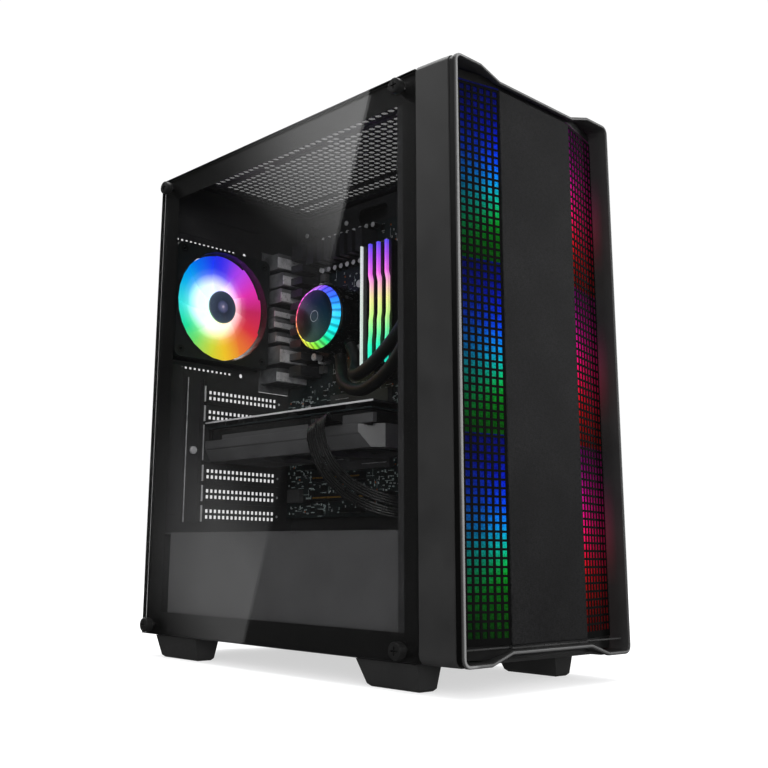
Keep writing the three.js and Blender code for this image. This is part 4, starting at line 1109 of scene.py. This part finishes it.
def motherboard():
    """The board and everything soldered or screwed to it, except the heatsink."""
    form = Form()
    form.block((BOARD_FACE, BOARD_FACE + 1.6), (-60, 183), (134, 439), PCB)
    rear_ports(form)
    taken = [(148, 183, 268, 427), (PUMP_Y - 30, PUMP_Y + 30, PUMP_Z - 30, PUMP_Z + 30), (-16, 31, 266, 410)]
    # processor socket frame, card slots with their latches, covers, edge connectors
    form.block((60.5, BOARD_FACE), (PUMP_Y - 27, PUMP_Y + 27), (PUMP_Z - 27, PUMP_Z + 27), BLACK)
    for x, y, z, look in [
        (54, (20, 134), (212, 219), BLACK), (58, (60, 134), (171, 178), BLACK),
        (58, (20, 134), (150.5, 157.5), BLACK), (60, (22, 112), (181, 203), COVER),
        (59.5, (24, 108), (240, 260), COVER), (58, (-44, 0), (160, 206), COVER),
        (55, (-58, -50), (300, 352), BLACK), (57, (-56, -36), (228, 240), BLACK),
        (57, (-56, -36), (212, 224), BLACK), (59, (8, 18), (138, 142.5), BLACK),
        (59, (28, 50), (138, 142.5), BLACK), (59, (60, 74), (138, 142.5), BLACK),
        (59, (84, 92), (138, 142.5), BLACK), (60, (136, 150), (184, 200), BLACK),
        (62, (120, 132), (222, 234), BLACK), (60, (156, 176), (150, 164), COVER),
        (58, (-46, -30), (140, 150), BLACK),
    ]:
        form.block((x, BOARD_FACE), y, z, look)
        taken.append((*y, *z))
    for y, z in [((20, 134), (212, 219)), ((60, 134), (171, 178)), ((20, 134), (150.5, 157.5))]:
        mid = sum(z) / 2
        form.block((53.8 if z[0] > 200 else 57.8, 60), (y[0] + 2, y[1] - 2), (mid - 0.8, mid + 0.8), GOLD)
    # raised lines on the covers
    for y0, y1, z in ((26, 60, 186), (26, 44, 198), (70, 100, 192), (28, 70, 245), (80, 100, 255)):
        form.block((59.2, 60.5), (y0, y1), (z - 0.3, z + 0.3), EDGE)
    form.prism("x", rounded((-38, -8), (166, 200), 5), 57.2, 58.2, COVER)
    form.prism("x", rounded((56, 64), (144, 147.5), 1.4), 62, BOARD_FACE, EDGE)
    # memory sockets and their latches
    for y in RAM_Y:
        form.block((59, BOARD_FACE), (y - 3.2, y + 3.2), (268, 408), BLACK)
        form.block((52, 60), (y - 2.2, y + 2.2), (402.5, 408), EDGE)
    # rows of capacitors and chokes round the voltage regulators
    for k in range(9):
        for z in (399, 434):
            y = 44 + k * 9.6
            form.disc("x", (0, y, z), 3.1, 58, BOARD_FACE, 16, BLACK)
            form.disc("x", (0, y, z), 2.7, 57.8, 58.1, 16, EDGE)
    for k in range(8):
        z = 286 + k * 17
        form.block((60, BOARD_FACE), (119, 127), (z, z + 8), COVER)
        form.disc("x", (0, 116, z + 12), 2.6, 58, BOARD_FACE, 14, CAN)
        form.disc("x", (0, 124, z + 12.5), 2.6, 58, BOARD_FACE, 14, EDGE)
    taken += [(112, 150, 276, 430), (40, 134, 396, 439)]
    for y, z in ((-50, 190), (-50, 175), (138, 250), (140, 240), (10, 228), (22, 228), (-28, 222)):
        form.disc("x", (0, y, z), 3.0, 57, BOARD_FACE, 16, BLACK)
        form.disc("x", (0, y, z), 2.6, 56.8, 57.1, 16, EDGE)
    small_parts(form, taken, 420, 4, (-56, 148), (262, 434), EDGE)
    small_parts(form, taken, 680, 9, (-56, 180), (138, 262), SOLDER)
    looks = [
        circuit, port_steel, dark_plastic, gold, mark_white, card_plastic, copper_dot, bright_steel, glinting_solder,
    ]
    piece("board_assembly", form, "chassis", looks, ["motherboard"])


motherboard()
keep("voltage_heatsink", heatsink_metal, 0.4)

STICK = box_mm("memory_stick_1")
bar_light = light_bar_look(STICK[2][0], STICK[2][1])
# a thin white strip with its own glow, a painted highlight
rear_stick_glint = surface("rear_stick_glint", (215, 225, 222), (240, 240, 240), (0.3, 0.4), relief=0.0,
                     Emission_Color=linear((225, 240, 232)), Emission_Strength=0.7)
for k, y in enumerate(RAM_Y, 1):
    low, high = STICK[2]
    form = Form()
    form.block((33, 62.2), (y - 0.6, y + 0.6), (low, high), 1)
    form.block((58.5, 62.1), (y - 0.7, y + 0.7), (low + 2, high - 2), 3)
    form.block((27.2, 56), (y - 3.2, y + 3.2), (low + 1, high - 1), 0)
    form.block((31, 52), (y - 3.4, y - 3.1), (low + 12, high - 40), 0)
    form.block((36, 48), (y - 3.4, y - 3.1), (high - 30, high - 8), 0)
    # the rear stick shows only a thin glowing white strip, a painted highlight, where the others have lit
    # bars
    if k == 4:
        form.block((24, 27.3), (y + 2.0, y + 3.1), (low + 1, high - 1), 4)
    else:
        right_edge = [
            (0.4, 123), (0.4, 92), (-1.3, 86), (-1.3, 52), (-0.2, 46), (-0.2, 34), (0.9, 26), (0.9, 1),
        ]
        left_edge = [(3.4, 1), (3.4, 20), (2.3, 30), (2.3, 44), (1.2, 50), (1.2, 82), (3.2, 90), (3.2, 123)]
        bar = [(y + across, low + up) for across, up in right_edge + left_edge]
        form.prism("x", bar, 24, 27.3, 2)
    piece(f"memory_{k}", form, "chassis", [dark_plastic, circuit, bar_light, gold, rear_stick_glint],
          [f"memory_stick_{k}"])


# ---- cooler ---------------------------------------------------------------------------------------
PUMP_FACE = box_mm("cooler_pump")[0][0]
ring_light = pump_light_look("pump_ring_light", (PUMP_FACE, PUMP_Y, PUMP_Z), 1.3)


def pump_face_look():
    """Dark mirror glass with a painted reflection of the ring's colours near its edge, given as emission."""
    look = Look("pump_face")
    parts = look.axes(look.place((PUMP_FACE, PUMP_Y, PUMP_Z)))
    reflected_ring_hue = look.ramp(look.turn(look.math("MULTIPLY", parts["Y"], -1), parts["Z"]), [
        (0.0, (70, 45, 90)), (0.12, (24, 26, 46)), (0.3, (30, 34, 42)), (0.46, (10, 34, 30)),
        (0.55, (24, 36, 24)), (0.64, (80, 66, 40)), (0.72, (120, 62, 52)), (0.82, (130, 50, 96)),
        (0.92, (104, 56, 120)), (1.0, (70, 45, 90)),
    ])
    painted_light_fade = look.ramp(look.math("DIVIDE", look.distance(parts["Y"], parts["Z"]), 27.5), [
        (0.15, 0), (0.55, 110), (0.85, 200), (1.0, 255),
    ])
    dark = look.ramp(look.noise(look.place(), 0.05), [(0.3, 5), (0.7, 8)])
    look.set(Base_Color=dark, Roughness=0.12, Specular_IOR_Level=0.3)
    # painted reflection of the ring, strongest at the edge of the face
    look.set(Emission_Color=look.times(reflected_ring_hue, painted_light_fade), Emission_Strength=0.55)
    return look.mat


def cooler_pump():
    """A mirror face in a lit ring on a round housing, with four mounting arms and sprung screws."""
    form = Form()
    x, axis = PUMP_FACE, (0, PUMP_Y, PUMP_Z)
    disc, ring, band, shell = 27.4, 28.6, 33.4, 35.4
    arm_root, screw_reach = 16, 34
    form.turned("x", axis, [(0, x + 0.5), (disc, x + 0.5), (disc, x + 3), (0, x + 3)], 72, 2)
    form.turned("x", axis, [
        (disc, x + 0.2), (disc + 0.4, x), (ring - 0.3, x), (ring, x + 0.5), (ring, x + 3), (disc, x + 3),
    ], 72, 1)
    glow = [(ring, 0.9), (ring + 0.2, 0.9), (band, 7), (band, 8), (ring, 8)]
    form.turned("x", axis, [(r, x + deep) for r, deep in glow], 72, 3)
    form.turned("x", axis, [
        (band, x + 6.6), (band + 0.6, x + 6.8), (shell - 0.5, x + 9), (shell, x + 13), (shell, x + 40),
        (shell - 1, x + 42), (shell - 1, x + 44.4), (0, x + 44.4), (0, x + 8), (band, x + 8),
    ], 72, 0)
    form.turned("x", axis, [(5.4, x + 0.44), (5.9, x + 0.44), (5.9, x + 0.6), (5.4, x + 0.6)], 40, 4)
    for dy in (-1, 1):
        for dz in (-1, 1):
            tip = (PUMP_Y + dy * screw_reach, PUMP_Z + dz * screw_reach)
            root = (PUMP_Y + dy * arm_root, PUMP_Z + dz * arm_root)
            arm = [
                (root[0] - dz * 6, root[1] + dy * 6),
                (root[0] + dz * 6, root[1] - dy * 6),
                (tip[0] + dz * 4.6, tip[1] - dy * 4.6),
                (tip[0] + dy * 3, tip[1] + dz * 3),
                (tip[0] - dz * 4.6, tip[1] + dy * 4.6),
            ]
            form.prism("x", arm, 56.5, 59.4, 5)
            post = (0, *tip)
            screw = [(0.05, 45.6), (3.6, 45.6), (4, 46.2), (4, 49), (2.2, 49.4), (2.2, 59.4), (0.05, 59.4)]
            form.turned("x", post, screw, 24, 4)
            for n in range(4):
                s = 50.3 + n * 1.6
                form.turned("x", post, [(2.2, s), (3.1, s), (3.1, s + 0.8), (2.2, s + 0.8)], 20, 4)
    looks = [black_gloss, ring_light, pump_face_look(), ring_light, bright_steel, screw_black]
    piece("pump", form, "chassis", looks, ["cooler_pump"], crisp=40)


cooler_pump()
HOSES = {
    "coolant_hose_upper": [
        (37, 57.6, 308.4), (37, 52.6, 300.5), (35.5, 46, 290.5), (30.5, 39.5, 280), (20, 31.5, 270),
        (9, 14, 266), (1, -8, 269), (-3, -29, 278.5), (-7, -48, 289), (-10, -63, 300), (-12, -82, 320),
        (-14, -97, 347), (-15, -108, 377), (-15, -114, 404), (-14, -119, 419.5), (-14, -127.5, 427.5),
        (-14, -136, 428.5),
    ],
    "coolant_hose_lower": [
        (40, 73.5, 301), (38.5, 70, 291), (33, 63, 280.5), (24, 53, 270.5), (14, 38.5, 259.5),
        (5, 18, 251), (-3, -6, 247.5), (-10, -31, 252), (-15, -52, 261.5), (-20, -70, 274), (-25, -88, 293),
        (-30, -103, 323), (-33, -112, 356), (-35.5, -116, 385), (-36.5, -119.5, 402), (-37, -128, 411),
        (-37, -136, 412.3),
    ],
}
for node, points in HOSES.items():
    form = Form().tube(smooth_path(points, 6), 6.0, 18)
    start, end = Vector(points[0]), Vector(points[-1])
    form.tube([start, start + (Vector(points[1]) - start) * 0.55], 6.2, 18, 1)
    form.tube([end + (Vector(points[-2]) - end) * 0.9, end], 6.2, 18, 1)
    piece(node + "_braided", form, "chassis", [braid, black_gloss], [node], crisp=50)
keep("radiator", radiator_black, 0.5)


# ---- expansion slots and graphics card --------------------------------------------------------------
SLOT_HOLES, SLOT_HOLE_PITCH, SLOT_HOLE = 17, 5.4, 3.4
for node in frame["nodes"]:
    if node.startswith("slot_cover"):
        (left, right), (near, far), (low, high) = box_mm(node)
        z = (low + high) / 2
        us, vs = [-51], [low, z - 4.7, z - 1.3, z + 1.3, z + 4.7, high]
        for k in range(SLOT_HOLES):
            us += [-42.8 + k * SLOT_HOLE_PITCH, -42.8 + k * SLOT_HOLE_PITCH + SLOT_HOLE]
        us.append(right)
        form = Form().grating(us, vs, hole_cells((1, 3)), level("y", far - 1, 1))
        # the cover's left flange and a small dot at its right end are pale, a painted highlight
        form.block((left, left + 1.4), (near, far), (low + 1.2, high - 1.2), 1)
        form.block((left + 1.4, -50), (near, far), (low + 1.6, high - 1.6), 0)
        form.disc("y", (51.5, 0, z), 1.3, far - 1.1, far - 0.9, 12, 1)
        piece(node + "_vented", form, "chassis", [inner_paint, edge_highlight], [node])
keep("slot_clamp", inner_paint, 0.3)
clamp_x, clamp_y, clamp_z = box_mm("slot_clamp")
clip = Form().block((clamp_x[0], clamp_x[0] + 0.7), (clamp_y[0] + 3.4, clamp_y[0] + 4.3), clamp_z)
screw = [(0.05, 0.1), (3.4, 0.1), (3.9, 0.6), (3.9, 3), (0.05, 3)]
clip.turned("y", (-64, 0, 198), [(r, clamp_y[0] + y) for r, y in screw], 24)
piece("clamp_edge", clip, "chassis", [bright_steel])


CARD_FAN_RADIUS = 42.3


def graphics_card():
    """Back plate, board, fins and heat pipes under a stepped shroud, and the bracket at the rear."""
    (left, right), (front, back), (bottom, top_z) = ((-49.5, 50), (-64, 179), (187, 227.5))
    form = Form()
    form.block((left + 0.6, right), (front, back), (top_z - 1.6, top_z), 1)
    # a pale strip along the back plate's left edge, a painted highlight
    form.block((left, left + 0.6), (front, back), (top_z - 1.7, top_z), 2)
    form.block((left + 2.5, right - 2), (front + 4, back), (220.6, 222.2), 3)
    for y in [front + 8 + k * 2.4 for k in range(94)]:
        form.block((left + 3.5, right - 6), (y, y + 0.7), (206, 219.4), 4)
    for y, width, height in ((150, 18, 4), (120, 10, 3), (100, 7, 3.4), (40, 12, 3), (-40, 14, 3.6)):
        form.block((left + 4, left + 14), (y, y + width), (222, 222 + height), 5)
    # shroud: a stepped cross-section with a sloping lower edge
    section = [(left, 208), (left, 200), (left + 1.6, 198.6), (left + 1.6, 197.6), (left + 7.5, 187.2),
               (right - 9, 187.2), (right - 2, 194), (right - 2, 208)]
    shell = Form().prism("y", section, front, back - 1, 0)
    form.block((left + 0.3, left + 5), (20, 150), (207.8, 212.5), 0)
    form.block((left + 0.3, left + 5), (front, -26), (207.8, 216), 0)
    neck = ((left + 8, right - 8), (back - 1, 183.6), (191, 223))
    form.block(*neck, 5)
    form.block((left - 0.3, left + 8.5), (-25, 9), (210.4, 211.9), 5)
    form.block((left + 6.5, left + 8.5), (-24, 8), (211.9, 219.5), 5)
    form.block((right - 4, 60.6), (36, 130), (214.9, 216.1), 6)
    shroud = piece("graphics_card_shroud", shell, "chassis", [card_plastic], edge=0.25)
    looks = [card_plastic, heatsink_metal, edge_highlight, circuit, radiator_black, dark_plastic, gold]
    piece("graphics_card_body", form, "chassis", looks, ["graphics_card"], 0.25)
    openings = Form()
    for k in (1, 2):
        x, y, _ = middle(f"card_fan_rotor_{k}")
        openings.disc("z", (x, y, 0), CARD_FAN_RADIUS, 180, 205.5, 64)
    openings.prism("z", [(left - 5, front - 5), (left + 20, front - 5), (left - 5, front + 24)], 180, 217)
    carve(shroud, openings)
    card_bracket(left)


def card_bracket(left):
    """A folded plate with three display sockets and a row of vents; its outer skin is bare steel."""
    form = Form()
    us = [left, -8, 8, 12, 28, 32, 48, 57.4]
    vs = [187.5, 215, 221, 225.3]
    for near, thick, look, vent in ((182.4, 1.2, 0, (182.2, 182.5)), (183.6, 0.3, 3, (183.9, 184.1))):
        form.grating(us, vs, hole_cells((1,)), level("y", near, thick), look)
        for k in range(11):
            form.block((-40 + k * 7, -36.5 + k * 7), vent, (192, 206), 1)
    # the bracket's left fold is pale, a painted highlight
    form.block((left - 1.2, left), (180, 183.4), (189, 225.3), 2)
    looks = [inner_paint, dark_plastic, edge_highlight, port_steel]
    piece("card_bracket", form, "chassis", looks, edge=0.1)


graphics_card()
for k in (1, 2):
    keep(f"card_fan_rotor_{k}", dark_plastic, 0.3)


# ---- cables, power supply and drives ------------------------------------------------------------------
def wires(form, points, count, start, end, radius):
    """Sleeved wires side by side, spread widely at the plug and closer at the far end."""
    path = smooth_path(points, 5)
    side = Vector((0, 1, 0))
    sides = []
    for i, point in enumerate(path):
        ahead = (path[min(i + 1, len(path) - 1)] - path[max(i - 1, 0)]).normalized()
        across = ahead.cross(Vector((-1, 0, 0)))
        if across.length > 0.3:
            side = across.normalized() if across.dot(side) > 0 else -across.normalized()
        side = (side - ahead * side.dot(ahead)).normalized()
        sides.append(side)
    for k in range(count):
        lane = (k - (count - 1) / 2) + (0.35 if k >= count / 2 else -0.35)
        run = []
        for i, point in enumerate(path):
            t = i / (len(path) - 1)
            run.append(point + sides[i] * lane * (start + (end - start) * t))
        form.tube(run, radius, 8)
    return form


GRAPHICS_CABLE = [
    (-51, -8, 214), (-60, -9, 213), (-68, -12, 205), (-70, -17, 190), (-67, -28, 169), (-60, -46, 151),
    (-46, -68, 139), (-24, -86, 134), (4, -96, 138), (32, -98, 150), (54, -95, 164), (68, -92, 172),
]
form = wires(Form(), GRAPHICS_CABLE, 8, 3.0, 1.5, 1.35)
form.block((-57, -42.2), (-23, 7), (211.9, 217.6), 1)
looks = [cable_sleeve, dark_plastic]
piece("graphics_cable_wires", form, "chassis", looks, ["graphics_power_cable"], crisp=60)
BOARD_CABLE = [
    (48.5, -54, 326), (40, -56, 326), (33, -64, 324), (34, -76, 320), (44, -86, 316), (58, -90, 312),
    (70, -91, 308),
]
form = wires(Form(), BOARD_CABLE, 6, 1.7, 1.5, 1.1)
form.block((49, 55), (-58, -50), (301, 351), 1)
piece("board_cable_wires", form, "chassis", looks, ["board_power_cable"], crisp=60)

keep("power_supply", dark_plastic, 0.5)
VENT_HOLE = 3.6
vent = Form()
vent_us = [-27] + [v for k in range(20) for v in (-25.6 + k * 4.7, -25.6 + VENT_HOLE + k * 4.7)] + [70.5]
vent_vs = [29] + [v for k in range(16) for v in (30.4 + k * 4.6, 30.4 + VENT_HOLE + k * 4.6)] + [105]
vent.grating(vent_us, vent_vs, hole_cells(), level("y", 183.5, 0.6))
for x, z in ((-49.5, 79), (-39.5, 79), (-44.5, 84)):
    vent.block((x - 1, x + 1), (172, 181), (z - 2, z + 2), 1)
piece("supply_vent", vent, "chassis", [inner_paint, bright_steel])
keep("power_supply_rotor", dark_plastic)
keep("power_supply_switch", black_gloss, 0.4)
keep("drive_cage", inner_paint)


# ---- floor, light and camera ----------------------------------------------------------------------
def stage_mesh(name, points, faces, look):
    mesh = bpy.data.meshes.new(name)
    mesh.from_pydata(points, [], faces)
    mesh.materials.append(look)
    obj = in_scene(name, mesh)
    return obj


def floor_look():
    """Pale and matt, with enough light of its own to read as white."""
    look = Look("floor")
    tone = look.noise(look.place(), 0.004)
    look.set(Base_Color=look.ramp(tone, [(0.3, (176, 176, 177)), (0.7, (180, 180, 181))]), Roughness=1.0)
    look.set(Specular_IOR_Level=0.0, Emission_Color=linear((250, 250, 250)), Emission_Strength=0.62)
    return look.mat


def card_look():
    """Light that fades along the card and below a slanting line."""
    look = Look("card")
    look.tree.nodes.remove(look.shader)
    glow = look.node("Emission")
    parts = look.axes(look.node("TexCoord").outputs["UV"])
    fall = look.ramp(parts["X"], [
        (0.0, 255), (0.25, 235), (0.42, 185), (0.55, 130), (0.7, 50),
        (0.85, 0),
    ])
    slant = look.math("SUBTRACT", parts["Y"], look.math("MULTIPLY", parts["X"], 0.25))
    rise = look.ramp(slant, [
        (0.0, 0), (0.08, 0), (0.16, 150), (0.24, 150), (0.31, 66),
        (0.53, 46), (0.565, 72), (0.6, 165), (0.64, 215), (0.67, 240),
        (0.715, 255),
    ])
    look.link(look.times(fall, rise), glow.inputs["Color"])
    glow.inputs["Strength"].default_value = 2.7
    look.link(glow.outputs[0], look.out.inputs["Surface"])
    return look.mat


FLOOR_HALF, FLOOR_DROP = 9.0, -2e-4
QUAD = [(0, 0), (1, 0), (1, 1), (0, 1)]
corners = [((2 * u - 1) * FLOOR_HALF, (2 * v - 1) * FLOOR_HALF, FLOOR_DROP) for u, v in QUAD]
floor = stage_mesh("floor", corners, [(0, 1, 2, 3)], floor_look())
floor.visible_glossy = False

# a tall soft card, whose slanting edge shows in the side glass and which fades towards the back
CARD_X, CARD_WIDTH = -1100, 900
(NEAR_Y, LOW_Z), (FAR_Y, HIGH_Z) = (1436, -500), (704, 1700)
corners = [
    at(CARD_X, (FAR_Y if v else NEAR_Y) + u * CARD_WIDTH, HIGH_Z if v else LOW_Z) for u, v in QUAD
]
card = stage_mesh("card", corners, [(0, 1, 2, 3)], card_look())
layer = card.data.uv_layers.new()
for k, corner in enumerate(QUAD):
    layer.data[k].uv = corner
card.visible_camera = False
card.visible_diffuse = False
card.visible_shadow = False


def soft_light(name, place, target, power, size):
    data = bpy.data.lights.new(name, "AREA")
    data.energy = power
    data.shape = "RECTANGLE"
    data.size, data.size_y = size
    obj = in_scene(name, data)
    obj.location = place
    obj.rotation_euler = (Vector(target) - Vector(place)).to_track_quat("-Z", "Y").to_euler()


soft_light("overhead", (0.1, 0.2, 2.6), (0, 0, 0), 60, (2.6, 2.6))
soft_light("front_left", (-1.9, -2.1, 0.85), (0, 0, 0.25), 56, (1.4, 1.4))
soft_light("front_right", (2.2, -1.6, 1.0), (0, 0, 0.25), 14, (0.9, 1.8))
soft_light("rear", (0.6, 2.4, 1.4), (0, 0, 0.2), 24, (1.6, 1.2))


def studio_world():
    """White to the eye and to matt surfaces, and almost black in mirrors."""
    world = bpy.data.worlds.new("studio")
    world.use_nodes = True
    tree = world.node_tree
    tree.nodes.clear()
    choose = tree.nodes.new("ShaderNodeMixShader")
    for slot, strength in ((1, 1.03), (2, 0.04)):
        sky = tree.nodes.new("ShaderNodeBackground")
        sky.inputs["Color"].default_value = (1, 1, 1, 1)
        sky.inputs["Strength"].default_value = strength
        tree.links.new(sky.outputs[0], choose.inputs[slot])
    path = tree.nodes.new("ShaderNodeLightPath")
    tree.links.new(path.outputs["Is Glossy Ray"], choose.inputs["Fac"])
    out = tree.nodes.new("ShaderNodeOutputWorld")
    tree.links.new(choose.outputs[0], out.inputs["Surface"])
    return world


def photo_camera(place, yaw, pitch, roll, lens, shift):
    """A camera at a point of the case; yaw turns from +Y to +X, pitch lifts it, roll turns it."""
    yaw, pitch, roll = (math.radians(a) for a in (yaw, pitch, roll))
    ahead = Vector((math.sin(yaw) * math.cos(pitch), math.cos(yaw) * math.cos(pitch), math.sin(pitch)))
    level = Vector((math.cos(yaw), -math.sin(yaw), 0))
    upright = level.cross(ahead)
    right = level * math.cos(roll) + upright * math.sin(roll)
    up = upright * math.cos(roll) - level * math.sin(roll)
    data = bpy.data.cameras.new("camera")
    data.sensor_width = 36
    data.lens = lens
    data.shift_x, data.shift_y = shift
    data.clip_start = 0.01
    camera = in_scene("camera", data)
    axes = Matrix((right, up, -ahead)).transposed().to_4x4()
    camera.matrix_world = Matrix.Translation(at(*place)) @ axes
    return camera


scene = bpy.context.scene
scene.world = studio_world()
scene.view_settings.view_transform = "Standard"
scene.camera = photo_camera((-664.4, -677.5, 96.5), 42.5, 11.79, 0.7, 47.93, (0.0728, -0.0564))
